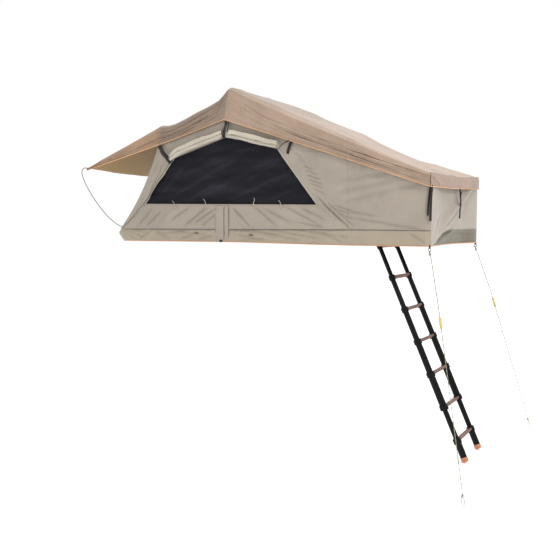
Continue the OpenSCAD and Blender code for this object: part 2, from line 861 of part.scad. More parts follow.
module skirt_run(u0, u1) {
    steps = ceil((u1 - u0) / 60);
    shares = [1 / skirt_drop, 0.5, 1];
    us = [for (i = [0:steps]) u0 + (u1 - u0) * i / steps];
    outer = [for (f = shares) [for (u = us) [u, -skirt_y(u, f) - cloth_t, -f * skirt_depth(u)]]];
    inner = [for (f = shares) [for (u = us) [u, -skirt_y(u, f), -f * skirt_depth(u)]]];
    both_sides() hinge_frame() sheet(outer, inner);
}

// The fixed half's skirt, which swells round the floor's left end
module skirt_fixed() {
    bulge = 66;
    arc = [for (a = [0:22.5:180]) [-floor_len - gap - bulge * sin(a), -(1 - cos(a)) * skirt_drop / 2 - 1]];
    back = [for (i = [len(arc) - 1:-1:0]) arc[i] + [cloth_t, 0]];
    color("darkkhaki") {
        skirt_run(-floor_len, -joint_gap);
        hinge_frame()
            translate([0, half_w - joint_gap, 0])
                rotate([90, 0, 0])
                    linear_extrude(floor_w - 2 * joint_gap)
                        polygon(concat(arc, [for (p = back) [min(p[0], -floor_len - gap), p[1]]]));
        both_sides() hinge_frame() side_plate(arc, -half_w - gap - cloth_t, cloth_t);
    }
}

module skirt_fold() {
    color("darkkhaki") skirt_run(joint_gap, u_end - joint_gap);
}

// Vestibule walls, down to the hem, with the end wall's slanting folds
module vestibule_walls() {
    color("darkkhaki")
        both_sides()
            hinge_frame()
                side_plate([[u_end + joint_gap, hem_z], [u_end + joint_gap, eave_z(u_end)],
                    [u_tip - joint_gap, eave_z(u_tip)], [u_tip - joint_gap, hem_z]],
                    -half_w - gap - cloth_t, cloth_t);
}

function end_fold(y, z) = let (
        up = (z - hem_z) / (eave_z(u_tip) - hem_z),
        across_fold = (y + half_w) / floor_w
    ) 14 * exp(-pow((up - across_fold) * 5, 2)) * min(1, 4 * up * (1 - up));

module vestibule_end_wall() {
    ys = [for (i = [0:14]) -half_w + floor_w * i / 14];
    zs = [for (i = [0:8]) hem_z + (eave_z(u_tip) - hem_z) * i / 8];
    outer = [for (z = zs) [for (y = ys) [u_tip - gap - end_fold(y, z), y, z]]];
    inner = [for (z = zs) [for (y = ys) [u_tip - gap - end_fold(y, z) - cloth_t, y, z]]];
    color("darkkhaki") hinge_frame() sheet(outer, inner);
}

// Straps that hang from the valance's near corner and from its middle
module end_straps() {
    buckle = [6, strap_w + 10, 24];
    drop = 270;
    z_top = vestibule_h - valance - gap;
    x_face = u_tip + joint_gap;
    color([0.1, 0.1, 0.1])
        hinge_frame() {
            for (y = [-half_w + buckle[1] / 2, 75]) {
                translate([x_face, y - strap_w / 2, z_top - drop]) cube([strap_t, strap_w, drop]);
                translate([x_face, y - buckle[1] / 2, z_top - drop / 3]) cube(buckle);
            }
        }
}

// Awning rods and their sockets

function awning_rod_at(p) = let (spread = (-u_awning - floor_len) / awning_rod_reach)
    [p[0] * (p[0] > 0 ? 1 : spread) - floor_len, -half_w - p[1], p[2]];

module awning_rods() {
    color("dimgray")
        both_sides()
            hinge_frame()
                cord([for (p = awning_rod_points) awning_rod_at(p)], awning_rod_d / 2, 8);
}

// Blocks on the floor frame's corners that the awning rods plug into
module rod_sockets() {
    mouth = awning_rod_at(awning_rod_points[1]);
    seat = awning_rod_at(awning_rod_points[0]);
    color("black")
        both_sides()
            hinge_frame()
                difference() {
                    translate([-floor_len + 24, -half_w + 4, 0]) cube(socket);
                    rod(mouth, seat + (seat - mouth) * 0.05, awning_rod_d / 2 + gap);
                }
}

// Guy ropes

module guy_rope_near() {
    color("wheat") cord(rope_points, rope_d / 2, rope_sides);
}

module guy_rope_far() {
    color("wheat") mirror([0, 1, 0]) cord(rope_points, rope_d / 2, rope_sides);
}

// A hook at each lower corner of the vestibule: a plate on the hem and a ring for the rope
module guy_hooks() {
    color("black")
        both_sides()
            translate(rope_hook) {
                translate([-8, -2.2, 11]) cube([16, 4, 24]);
                rotate([90, 0, 0])
                    rotate_extrude($fn = 48) translate([12, 0]) circle(r = 2.5, $fn = 24);
            }
}

// Knots where each rope ties back on itself below its hook and above its ground loop
module guy_knots() {
    knots = [[2511, -707, -140], [2936, -1209, -1845]];
    color("wheat")
        both_sides()
            for (knot = knots) translate(knot) sphere(r = rope_d * 1.7, $fn = 32);
}

// A flat bar that grips the rope, bored along it
module tensioner() {
    along = tensioner_to - tensioner_from;
    length = norm(along);
    translate(tensioner_from)
        rotate([0, acos(along[2] / length), atan2(along[1], along[0])])
            translate([0, 0, (length - tensioner_len) / 2])
                difference() {
                    union() {
                        translate([-5.5, -9, 0]) cube([11, 18, tensioner_len]);
                        for (end = [0, 1])
                            translate([0, 0, end * (tensioner_len - 14)])
                                cylinder(d = 22, h = 14, $fn = fn_round);
                    }
                    translate([0, 0, -1]) cylinder(d = rope_d + 2 * gap, h = tensioner_len + 2, $fn = fn_round);
                }
}

module tensioner_near() {
    color("gold") tensioner();
}

module tensioner_far() {
    color("gold") mirror([0, 1, 0]) tensioner();
}

// Ladder

// Puts the ladder's pivot at the origin, with +Z down along the ladder
module ladder_frame() {
    hinge_frame()
        translate([ladder_u, 0, ladder_z])
            rotate([0, 180 - ladder_lean, 0]) children();
}

module ladder_rails() {
    for (side = [-1, 1]) translate([0, side * ladder_rail, 0]) children();
}

// A pair of tubes from one place on the ladder to another
module ladder_tubes(i, from, to) {
    d = tube_diameter(i);
    ladder_frame()
        ladder_rails()
            translate([0, 0, from])
                difference() {
                    cylinder(d = d, h = to - from, $fn = fn_round);
                    translate([0, 0, -1]) cylinder(d = d - 2 * tube_wall, h = to - from + 2, $fn = fn_round);
                }
}

// The two collars that hold a rung's ends, seated on tubes of diameter d
module ladder_collars(at, d) {
    ladder_frame()
        translate([0, 0, at])
            ladder_rails()
                difference() {
                    cylinder(d = d + 14, h = collar_h, center = true, $fn = fn_round);
                    cylinder(d = d + joint_gap, h = collar_h + 2, center = true, $fn = fn_round);
                }
}

// A rung between its collars
module ladder_rung(at, d) {
    color("sienna")
        ladder_frame()
            translate([0, 0, at])
                rotate([90, 0, 0])
                    linear_extrude(ladder_w - d - 14 - 2 * joint_gap, center = true)
                        rung_profile();
}

// Section of a rung: flat tread on top, rounded below, with grip grooves
module rung_profile() {
    difference() {
        union() {
            translate([-rung_depth / 2, -rung_h / 2]) square([rung_depth, rung_h * 0.6]);
            translate([0, rung_h * 0.1]) circle(d = rung_h * 0.8, $fn = fn_round);
        }
        for (x = [-0.3, -0.1, 0.1, 0.3])
            translate([x * rung_depth, -rung_h / 2]) circle(r = 1.6, $fn = 24);
    }
}

module ladder_tubes_1() {
    color([0.1, 0.1, 0.1]) {
        difference() {
            ladder_tubes(0, -ladder_top_len, rung_at(1) + tube_overlap);
            ladder_frame()
                rotate([90, 0, 0])
                    cylinder(d = pin_d + 2 * pin_gap, h = floor_w, center = true, $fn = fn_round);
        }
        ladder_collars(rung_at(0), tube_diameter(0));
    }
}

// A middle section: its tubes, with the collars at their top
module ladder_section(i) {
    color([0.1, 0.1, 0.1]) {
        ladder_tubes(i, rung_at(i) - collar_h / 2, rung_at(i + 1) + tube_overlap);
        ladder_collars(rung_at(i), tube_diameter(i));
    }
}

module ladder_tubes_2() {
    ladder_section(1);
}

module ladder_tubes_3() {
    ladder_section(2);
}

module ladder_tubes_4() {
    ladder_section(3);
}

// The last section: its tubes, with solid-topped legs below them and collars at both ends
module ladder_tubes_5() {
    d = tube_diameter(4);
    color([0.1, 0.1, 0.1]) {
        ladder_tubes(4, rung_at(4) - collar_h / 2, rung_at(5) - leg_plug - joint_gap);
        for (i = [4, 5]) ladder_collars(rung_at(i), d);
        ladder_frame()
            ladder_rails()
                translate([0, 0, rung_at(5) - leg_plug]) {
                    cylinder(d = d, h = leg_plug * 2, $fn = fn_round);
                    translate([0, 0, leg_plug * 2 - 1])
                        difference() {
                            cylinder(d = leg_d, h = rung_pitch + 30, $fn = fn_round);
                            translate([0, 0, 20])
                                cylinder(d = leg_d - 2 * tube_wall, h = rung_pitch + 30, $fn = fn_round);
                        }
                }
    }
}

module ladder_rungs_1() {
    ladder_rung(rung_at(0), tube_diameter(0));
}

module ladder_rungs_2() {
    ladder_rung(rung_at(1), tube_diameter(1));
}

module ladder_rungs_3() {
    ladder_rung(rung_at(2), tube_diameter(2));
}

module ladder_rungs_4() {
    ladder_rung(rung_at(3), tube_diameter(3));
}

// Two rungs on the last section, one at each end of its tubes
module ladder_rungs_5() {
    for (i = [4, 5]) ladder_rung(rung_at(i), tube_diameter(4));
}

module ladder_rungs_6() {
    ladder_rung(rung_at(6), sleeve_d);
}

// Sleeves that slide on the legs, with the last rung's collars
module ladder_foot() {
    from = rung_at(6) - 16;
    to = rung_at(6) + foot_len - foot_cap_h;
    color([0.1, 0.1, 0.1]) {
        ladder_frame()
            ladder_rails()
                translate([0, 0, from])
                    difference() {
                        cylinder(d = sleeve_d, h = to - from, $fn = fn_round);
                        translate([0, 0, -1])
                            cylinder(d = leg_d + 2 * slide_gap, h = to - from - 8, $fn = fn_round);
                    }
        ladder_collars(rung_at(6), sleeve_d);
    }
}

// Rubber feet on the sleeves, cut to stand flat at the ladder's lean
module foot_caps() {
    seat = rung_at(6) + foot_len - foot_cap_h + joint_gap;
    color("darkorange")
        ladder_frame()
            ladder_rails()
                translate([0, 0, seat]) {
                    cylinder(d = sleeve_d + 4, h = foot_cap_h - 12, $fn = fn_round);
                    translate([0, 0, foot_cap_h - 12])
                        cylinder(d1 = sleeve_d + 4, d2 = sleeve_d - 14, h = 12, $fn = fn_round);
                }
}

// Brackets under the floor's end, each pair of cheeks with the pin that a ladder tube turns on
module ladder_brackets() {
    cheek_t = 5;
    cheek_w = 40;
    tube_room = tube_diameter(0) / 2 + 1;
    bore_d = pin_d + 2 * pin_gap;
    pin_l = 2 * (tube_room + cheek_t + 4);
    color("gray")
        hinge_frame()
            for (side = [-1, 1])
                translate([0, side * ladder_rail, 0]) {
                    for (cheek = [-1, 1])
                        difference() {
                            side_plate([[u_end + gap, -2], [u_end + gap, -floor_t + 2],
                                [ladder_u - 22, ladder_z - 14], [ladder_u + 6, ladder_z - 20],
                                [ladder_u + 20, ladder_z], [ladder_u + 8, ladder_z + 18], [u_end + 30, -2]],
                                cheek * (tube_room + cheek_t / 2) - cheek_t / 2, cheek_t);
                            translate([ladder_u, 0, ladder_z])
                                rotate([90, 0, 0])
                                    cylinder(d = bore_d, h = cheek_w * 3, center = true, $fn = fn_round);
                        }
                    translate([u_end + gap, -tube_room - cheek_t, -floor_t + 2])
                        cube([5, 2 * tube_room + 2 * cheek_t, floor_t - 4]);
                    translate([ladder_u, 0, ladder_z])
                        rotate([90, 0, 0])
                            cylinder(d = pin_d, h = pin_l, center = true, $fn = fn_round);
                }
}

fixed_floor_panel();
fixed_floor_frame();
mounting_rails();
rail_bolts();
fixed_hinge_plates();
hinge_pins();
mattress_fixed();
side_walls_fixed();
window_mesh_fixed();
window_rolls_fixed();
skirt_fixed();
end_wall_left();
window_mesh_end();
roof_fixed();
awning_rods();
rod_sockets();
fly_left();
roll_straps_fixed();
fold_floor_panel();
fold_floor_frame();
fold_hinge_plates();
mattress_fold();
rod_brackets();
ladder_brackets();
side_walls_fold();
window_mesh_fold();
window_rolls_fold();
skirt_fold();
roof_fold();
fly_right();
roll_straps_fold();
centre_hoop();
left_hoop();
right_hoop();
fly_awning();
vestibule_rods();
vestibule_walls();
vestibule_end_wall();
vestibule_roof();
fly_vestibule();
end_straps();
guy_hooks();
guy_rope_near();
guy_rope_far();
guy_knots();
tensioner_near();
tensioner_far();
ladder_tubes_1();
ladder_tubes_2();
ladder_tubes_3();
ladder_tubes_4();
ladder_tubes_5();
ladder_rungs_1();
ladder_rungs_2();
ladder_rungs_3();
ladder_rungs_4();
ladder_rungs_5();
ladder_rungs_6();
ladder_foot();
foot_caps();
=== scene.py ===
import bpy, bmesh, math
from mathutils import Vector, Matrix, noise


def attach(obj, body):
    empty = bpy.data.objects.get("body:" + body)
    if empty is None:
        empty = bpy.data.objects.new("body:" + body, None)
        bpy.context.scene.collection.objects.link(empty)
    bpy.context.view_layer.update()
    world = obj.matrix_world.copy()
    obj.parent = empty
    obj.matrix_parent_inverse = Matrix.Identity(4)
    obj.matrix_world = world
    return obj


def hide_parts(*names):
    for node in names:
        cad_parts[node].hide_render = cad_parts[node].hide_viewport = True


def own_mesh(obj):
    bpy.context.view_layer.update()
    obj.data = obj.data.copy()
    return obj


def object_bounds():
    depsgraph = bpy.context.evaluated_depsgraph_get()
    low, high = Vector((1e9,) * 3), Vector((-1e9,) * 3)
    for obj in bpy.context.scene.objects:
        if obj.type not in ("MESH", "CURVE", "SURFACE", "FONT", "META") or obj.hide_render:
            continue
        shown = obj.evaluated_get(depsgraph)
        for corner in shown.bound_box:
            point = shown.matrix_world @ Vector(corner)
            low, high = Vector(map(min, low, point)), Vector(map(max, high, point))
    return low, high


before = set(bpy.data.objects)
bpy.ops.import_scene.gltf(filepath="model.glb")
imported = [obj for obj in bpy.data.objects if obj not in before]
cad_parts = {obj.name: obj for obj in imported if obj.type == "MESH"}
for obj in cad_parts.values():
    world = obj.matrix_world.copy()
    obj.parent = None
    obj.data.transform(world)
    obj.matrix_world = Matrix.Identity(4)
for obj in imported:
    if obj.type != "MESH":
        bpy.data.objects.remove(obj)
cadBox = [list(c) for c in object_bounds()]
print("frame loaded")

# the hinge line at floor height; u runs along the tent from it, z up from the floor
hingeX = 0.6
floorZ = 0.06
halfWidth = 0.7
floorLength = 1.2
# places along the tent: the awning's tip, the left and right hoops, the vestibule's end
awningTip, leftHoop, rightHoop, tentEnd = -1.5496, -0.7126, 0.7584, 1.916
bothSides = ((-1, "Near"), (1, "Far"))
bothHalves = (("fixed", "base"), ("fold", "fold_out"))


def place(u, y, z):
    return Vector((hingeX + u, y, floorZ + z))


def along(u, rows):
    if u <= rows[0][0]:
        return rows[0][1]
    for (u0, v0), (u1, v1) in zip(rows, rows[1:]):
        if u <= u1:
            return v0 + (v1 - v0) * (u - u0) / (u1 - u0)
    return rows[-1][1]


def mix(a, b, t):
    return a + (b - a) * t


def ease(t):
    t = max(0.0, min(1.0, t))
    return t * t * (3 - 2 * t)


def bumpAt(x, mid, wide):
    return math.exp(-((x - mid) / wide) ** 2)


def grain(x, y, z):
    return noise.noise(Vector((x, y, z)))


def crease(x, y, z, sharp=3.0):
    return (1 - min(1.0, abs(grain(x, y, z)) * 2.2)) ** sharp


def flatLength(points):
    return sum(math.dist(p, q) for p, q in zip(points, points[1:]))


def pathLength(points):
    return sum((q - p).length for p, q in zip(points, points[1:]))


# camera, lights and background

camSet = {"spot": (4.3171, -6.41, 0.0946), "pitch": 4.246, "yaw": 28.94, "lens": 47.95}
camData = bpy.data.cameras.new("tentCamera")
camData.lens = camSet["lens"]
camData.sensor_width = 36
tentCamera = bpy.data.objects.new("tentCamera", camData)
bpy.context.collection.objects.link(tentCamera)
tentCamera.location = camSet["spot"]
tentCamera.rotation_euler = (math.radians(90 - camSet["pitch"]), 0, math.radians(camSet["yaw"]))
bpy.context.scene.camera = tentCamera
bpy.context.scene.view_settings.view_transform = "Standard"

lightSet = [
    {"name": "keyLight", "at": (8.5, -4.2, 5.6), "to": (1.2, 0, 0.4), "size": 1.6, "power": 330,
     "tint": (1.0, 0.97, 0.93)},
    {"name": "topLight", "at": (3.4, 1.2, 7.0), "to": (1.4, 0, 0.8), "size": 3.0, "power": 200,
     "tint": (1.0, 0.99, 0.97)},
]
for one in lightSet:
    data = bpy.data.lights.new(one["name"], "AREA")
    data.size = one["size"]
    data.energy = one["power"]
    data.color = one["tint"]
    lamp = bpy.data.objects.new(one["name"], data)
    bpy.context.collection.objects.link(lamp)
    lamp.location = one["at"]
    lamp.rotation_euler = (Vector(one["to"]) - Vector(one["at"])).to_track_quat("-Z", "Y").to_euler()

studioWorld = bpy.data.worlds.new("studioWorld")
bpy.context.scene.world = studioWorld
studioWorld.use_nodes = True
studioWorld.node_tree.nodes["Background"].inputs["Color"].default_value = (1.0, 1.0, 1.0, 1)
studioWorld.node_tree.nodes["Background"].inputs["Strength"].default_value = 1.0
print("camera and lights placed")


# material helpers

def linear(colour):
    return tuple(((c / 255 + 0.055) / 1.055) ** 2.4 if c > 10 else c / 255 / 12.92 for c in colour)


def newMaterial(name, colour, rough, **fixed):
    mat = bpy.data.materials.new(name)
    mat.use_nodes = True
    shader = mat.node_tree.nodes["Principled BSDF"]
    shader.inputs["Base Color"].default_value = (*colour, 1)
    shader.inputs["Roughness"].default_value = rough
    for socket, value in fixed.items():
        shader.inputs[socket.replace("_", " ")].default_value = value
    return mat, mat.node_tree, shader


def mapped(tree, space, scale=(1, 1, 1), turn=(0, 0, 0)):
    coords = tree.nodes.new("ShaderNodeTexCoord")
    shift = tree.nodes.new("ShaderNodeMapping")
    shift.inputs["Scale"].default_value = scale
    shift.inputs["Rotation"].default_value = turn
    tree.links.new(coords.outputs[space], shift.inputs["Vector"])
    return shift.outputs["Vector"]


def noiseNode(tree, vector, scale, detail=4.0, rough=0.55):
    tex = tree.nodes.new("ShaderNodeTexNoise")
    tex.inputs["Scale"].default_value = scale
    tex.inputs["Detail"].default_value = detail
    tex.inputs["Roughness"].default_value = rough
    tree.links.new(vector, tex.inputs["Vector"])
    return tex.outputs["Fac"]


def rampNode(tree, fac, stops):
    ramp = tree.nodes.new("ShaderNodeValToRGB")
    elements = ramp.color_ramp.elements
    for i, (spot, colour) in enumerate((stops[0], stops[-1])):
        elements[i].position = spot
        elements[i].color = (*colour, 1)
    for spot, colour in stops[1:-1]:
        elements.new(spot).color = (*colour, 1)
    tree.links.new(fac, ramp.inputs["Fac"])
    return ramp.outputs["Color"]


def mathNode(tree, kind, *values):
    node = tree.nodes.new("ShaderNodeMath")
    node.operation = kind
    for i, value in enumerate(values):
        if isinstance(value, (int, float)):
            node.inputs[i].default_value = value
        else:
            tree.links.new(value, node.inputs[i])
    return node.outputs[0]


def weighted(tree, a, shareA, b, shareB):
    return mathNode(tree, "ADD", mathNode(tree, "MULTIPLY", a, shareA), mathNode(tree, "MULTIPLY", b, shareB))


def waveNode(tree, vector, spacing, direction):
    tex = tree.nodes.new("ShaderNodeTexWave")
    tex.wave_type = "BANDS"
    tex.bands_direction = direction
    tex.inputs["Scale"].default_value = 1 / spacing / 6.283
    tex.inputs["Distortion"].default_value = 0.6
    tex.inputs["Detail"].default_value = 1.0
    tree.links.new(vector, tex.inputs["Vector"])
    return tex.outputs["Fac"]


def paintedShadeSheenNode(tree):
    # the painted shade of each point, as clothGrid stored it; the net reads it as painted sheen
    node = tree.nodes.new("ShaderNodeAttribute")
    node.attribute_name = "paintedShadeAndSheen"
    return node.outputs["Fac"]


def finishSurface(tree, shader, colour, height, strength, distance):
    bump = tree.nodes.new("ShaderNodeBump")
    bump.inputs["Strength"].default_value = strength
    bump.inputs["Distance"].default_value = distance
    tree.links.new(height, bump.inputs["Height"])
    tree.links.new(bump.outputs["Normal"], shader.inputs["Normal"])
    tree.links.new(colour, shader.inputs["Base Color"])


def clothMaterial(name, light, dark, thread, weaveDepth, rough=0.85, sheen=0.25, mottle=2.2):
    # woven cloth: threads both ways from the piece's own UV in metres, soft mottling from its place, painted shade
    # from the stored attribute
    light, dark = linear(light), linear(dark)
    mat, tree, shader = newMaterial(name, light, rough, Sheen_Weight=sheen, Sheen_Roughness=0.5,
                                    Specular_IOR_Level=0.25)
    uv = mapped(tree, "UV")
    weave = weighted(tree, waveNode(tree, uv, thread, "X"), 0.5, waveNode(tree, uv, thread, "Y"), 0.5)
    spot = mapped(tree, "Object")
    stain = noiseNode(tree, spot, mottle, 6.0, 0.62)
    fine = noiseNode(tree, spot, 90.0, 2.0, 0.5)
    tone = rampNode(tree, weighted(tree, stain, 0.8, fine, 0.2), [(0.32, dark), (0.66, light)])
    # painted shade: the stored attribute darkens the colour in grooves and shaded parts; below zero it lightens it as
    # painted light
    paintedShadeDim = tree.nodes.new("ShaderNodeHueSaturation")
    shade = mathNode(tree, "MULTIPLY", paintedShadeSheenNode(tree), 0.5)
    tree.links.new(mathNode(tree, "SUBTRACT", 1.0, shade), paintedShadeDim.inputs["Value"])
    tree.links.new(tone, paintedShadeDim.inputs["Color"])
    finishSurface(tree, shader, paintedShadeDim.outputs["Color"], weighted(tree, weave, 0.6, fine, 0.4), 0.45, weaveDepth)
    return mat


def netMaterial():
    # fine dark netting: open squares darken and sink between the threads; painted sheen along its wrinkles
    mat, tree, shader = newMaterial("windowNet", linear((22, 21, 26)), 0.8, Specular_IOR_Level=0.1)
    uv = mapped(tree, "UV")
    thread = mathNode(tree, "MAXIMUM", waveNode(tree, uv, 0.0018, "X"), waveNode(tree, uv, 0.0018, "Y"))
    # diagonal streaks: random tone mixed with painted sheen where the net wrinkles
    streakSheen = noiseNode(tree, mapped(tree, "Object", (1.3, 1, 7.0), (0, 0.5, 0)), 1.6, 3.0)
    mesh = weighted(tree, thread, 0.4, streakSheen, 0.6)
    # painted highlight along the ridges of the net's folds, from the stored attribute
    tone = rampNode(tree, mathNode(tree, "ADD", mesh, mathNode(tree, "MULTIPLY", paintedShadeSheenNode(tree), 0.15)),
                    [(0.36, linear((11, 10, 14))), (0.72, linear((36, 35, 41))), (1.0, linear((58, 57, 66)))])
    finishSurface(tree, shader, tone, thread, 0.4, 0.0006)
    return mat


def coatedMetal(name, colour, worn, rough, metal, grainScale, shine=0.5):
    # satin metal: fine orange-peel, cloudy roughness and paler rubbed patches
    colour, worn = linear(colour), linear(worn)
    mat, tree, shader = newMaterial(name, colour, rough, Metallic=metal, Specular_IOR_Level=shine)
    spot = mapped(tree, "Object")
    cloud = noiseNode(tree, spot, 7.0, 5.0)
    gloss = rampNode(tree, cloud, [(0.3, (rough - 0.07,) * 3), (0.7, (rough + 0.1,) * 3)])
    tree.links.new(gloss, shader.inputs["Roughness"])
    tone = rampNode(tree, cloud, [(0.45, colour), (0.75, worn)])
    finishSurface(tree, shader, tone, noiseNode(tree, spot, grainScale, 2.0), 0.15, 0.0004)
    return mat


def mouldedPlastic(name, colour, dark, rough):
    # cloudy plastic or rubber with fine pits
    colour, dark = linear(colour), linear(dark)
    mat, tree, shader = newMaterial(name, colour, rough)
    spot = mapped(tree, "Object")
    tone = rampNode(tree, noiseNode(tree, spot, 14.0, 4.0), [(0.35, dark), (0.7, colour)])
    finishSurface(tree, shader, tone, noiseNode(tree, spot, 520.0, 2.0), 0.25, 0.0003)
    return mat


def ropeMaterial():
    # twisted rope: slanted strands with a faint shadow between them
    mat, tree, shader = newMaterial("guyRope", linear((238, 226, 190)), 0.8, Sheen_Weight=0.3)
    strand = waveNode(tree, mapped(tree, "Object"), 0.009, "DIAGONAL")
    tone = rampNode(tree, strand, [(0.1, linear((100, 95, 76))), (0.6, linear((146, 139, 116)))])
    finishSurface(tree, shader, tone, strand, 0.5, 0.001)
    return mat


# each cloth: light and dark tone, thread spacing and weave depth in metres, then roughness, sheen and mottling
canvasWeave = (0.0012, 0.0005)
flyWeave = (0.0007, 0.0003, 0.62, 0.3, 3.0)
wallCanvas = clothMaterial("wallCanvas", (158, 149, 137), (141, 132, 121), *canvasWeave)
skirtCanvas = clothMaterial("skirtCanvas", (161, 150, 133), (146, 136, 119), *canvasWeave)
flyCloth = clothMaterial("flyCloth", (164, 142, 124), (142, 121, 104), *flyWeave)
# painted light: the awning's copy of the fly cloth, warmer where light shines through it
flyAwningLit = clothMaterial("flyAwningLit", (166, 138, 112), (142, 116, 93), *flyWeave)
# painted shade: a darker copy of the fly cloth for the valance across the end, which faces the light
valanceShadeCloth = clothMaterial("valanceShadeCloth", (136, 107, 88), (122, 94, 76), *flyWeave)
flyLining = clothMaterial("flyLining", (147, 113, 46), (131, 98, 37), 0.0007, 0.0003, 0.6, 0.2)
# painted light: a lighter copy of the wall canvas for the rolls, which lie in the fly's shadow
rollCanvasLit = clothMaterial("rollCanvasLit", (186, 178, 163), (168, 160, 145), *canvasWeave)
hemCanvas = clothMaterial("hemCanvas", (163, 156, 142), (149, 142, 128), *canvasWeave)
# painted shade: a dark copy of the canvas for the end's band below the floor line, which hangs in shadow
bandShadeCanvas = clothMaterial("bandShadeCanvas", (102, 96, 77), (88, 82, 65), *canvasWeave)
webbing = clothMaterial("webbing", (36, 33, 31), (24, 22, 21), 0.0016, 0.0006, 0.7, 0.1)
mattressCloth = clothMaterial("mattressCloth", (82, 80, 76), (68, 66, 62), 0.0015, 0.0006)
pipingCloth = clothMaterial("pipingCloth", (214, 166, 122), (192, 144, 100), 0.0010, 0.0003, 0.6, 0.2)
seamThread = clothMaterial("seamThread", (104, 98, 88), (88, 82, 74), 0.0010, 0.0004)
skirtPiping = clothMaterial("skirtPiping", (196, 146, 112), (178, 128, 96), 0.0010, 0.0003, 0.65, 0.2)
windowNet = netMaterial()
guyRope = ropeMaterial()
# each metal: tone, worn tone, roughness, metallic share, grain and shine
ladderBlack = coatedMetal("ladderBlack", (9, 9, 10), (22, 22, 23), 0.28, 0.0, 900, 0.14)
rungBronze = coatedMetal("rungBronze", (106, 73, 61), (131, 95, 81), 0.42, 0.5, 700, 0.35)
frameAlloy = coatedMetal("frameAlloy", (186, 187, 189), (204, 205, 207), 0.36, 0.85, 800)
hoopGrey = coatedMetal("hoopGrey", (74, 76, 78), (98, 100, 102), 0.42, 0.5, 800)
bracketGrey = coatedMetal("bracketGrey", (58, 58, 60), (80, 80, 82), 0.45, 0.5, 700)
rodSteel = coatedMetal("rodSteel", (84, 84, 86), (112, 112, 114), 0.34, 0.6, 600)
boltSteel = coatedMetal("boltSteel", (160, 160, 162), (186, 186, 188), 0.32, 0.9, 600)
footRubber = mouldedPlastic("footRubber", (186, 124, 86), (166, 104, 68), 0.6)
tensionerYellow = mouldedPlastic("tensionerYellow", (198, 184, 92), (182, 166, 78), 0.4)
socketBlack = mouldedPlastic("socketBlack", (30, 30, 32), (22, 22, 24), 0.5)
panelGrey = mouldedPlastic("panelGrey", (202, 200, 196), (188, 186, 182), 0.55)
floorPaint = newMaterial("studioFloor", (0.96, 0.96, 0.96), 0.9, Emission_Strength=0.25,
                         Emission_Color=(1, 1, 1, 1))[0]
print("materials made")

nodeFinish = [
    (panelGrey, ["fixed_floor_panel", "fold_floor_panel"]),
    (frameAlloy, ["fixed_floor_frame", "fold_floor_frame", "mounting_rails"]),
    (boltSteel, ["rail_bolts", "hinge_pins"]),
    (bracketGrey, ["fixed_hinge_plates", "fold_hinge_plates", "rod_brackets", "ladder_brackets"]),
    (hoopGrey, ["centre_hoop", "left_hoop", "right_hoop", "vestibule_rods"]),
    (socketBlack, ["rod_sockets", "guy_hooks"]),
    (tensionerYellow, ["tensioner_near", "tensioner_far"]),
    (footRubber, ["foot_caps"]),
    (ladderBlack, ["ladder_foot"] + ["ladder_tubes_%d" % i for i in range(1, 6)]),
    (rungBronze, ["ladder_rungs_%d" % i for i in range(1, 7)]),
]
for finish, names in nodeFinish:
    for name in names:
        slots = bpy.data.objects[name].data.materials
        slots.clear()
        slots.append(finish)
print("solid pieces finished")


# mesh helpers

def keep(name, bm, mats, smooth=True):
    mesh = bpy.data.meshes.new(name)
    for f in bm.faces:
        f.smooth = smooth
    bm.to_mesh(mesh)
    bm.free()
    obj = bpy.data.objects.new(name, mesh)
    bpy.context.collection.objects.link(obj)
    for mat in mats:
        mesh.materials.append(mat)
    return obj


def thicken(obj, area, thick, inset=-1.0):
    obj["clothArea"] = area
    shell = obj.modifiers.new("thickness", "SOLIDIFY")
    shell.thickness = thick
    shell.offset = inset
    return shell


def clothGrid(name, cells, size, pointAt, mats, thick=0.0016, flip=False, inset=-1.0, shadeAt=None):
    # a flat grid carried to its place point by point, then given its thickness inwards
    bm = bmesh.new()
    bmesh.ops.create_grid(bm, x_segments=cells[0], y_segments=cells[1], size=0.5)
    uvLayer = bm.loops.layers.uv.new("clothUv")
    # the painted shade of each point (painted sheen on the net), read by the materials
    shadeLayer = bm.verts.layers.float.new("paintedShadeAndSheen")
    spots = {v: (v.co.x + 0.5, v.co.y + 0.5) for v in bm.verts}
    for f in bm.faces:
        for loop in f.loops:
            a, b = spots[loop.vert]
            loop[uvLayer].uv = (a * size[0], b * size[1])
    for v, (a, b) in spots.items():
        v.co = pointAt(a, b)
        if shadeAt:
            v[shadeLayer] = shadeAt(a, b, v.co)
    if flip:
        bmesh.ops.reverse_faces(bm, faces=bm.faces)
    area = sum(f.calc_area() for f in bm.faces)
    obj = keep(name, bm, mats)
    shell = thicken(obj, area, thick, inset)
    if len(mats) > 1:
        shell.material_offset = 1
    return obj


def tubeAlong(name, points, radius, mats, sides=3, closed=False, radii=None):
    # a round tube on a poly curve, made a mesh
    data = bpy.data.curves.new(name, "CURVE")
    data.dimensions = "3D"
    data.bevel_depth = radius
    data.bevel_resolution = sides
    data.use_fill_caps = True
    line = data.splines.new("POLY")
    line.points.add(len(points) - 1)
    for i, p in enumerate(points):
        line.points[i].co = (*p, 1)
        line.points[i].radius = 1.0 if radii is None else radii[i]
    line.use_cyclic_u = closed
    curve = bpy.data.objects.new(name + "Curve", data)
    bpy.context.collection.objects.link(curve)
    bpy.context.view_layer.update()
    mesh = bpy.data.meshes.new_from_object(curve.evaluated_get(bpy.context.evaluated_depsgraph_get()))
    bpy.data.objects.remove(curve)
    mesh.name = name
    for p in mesh.polygons:
        p.use_smooth = True
    mesh.materials.clear()
    for mat in mats:
        mesh.materials.append(mat)
    obj = bpy.data.objects.new(name, mesh)
    bpy.context.collection.objects.link(obj)
    return obj


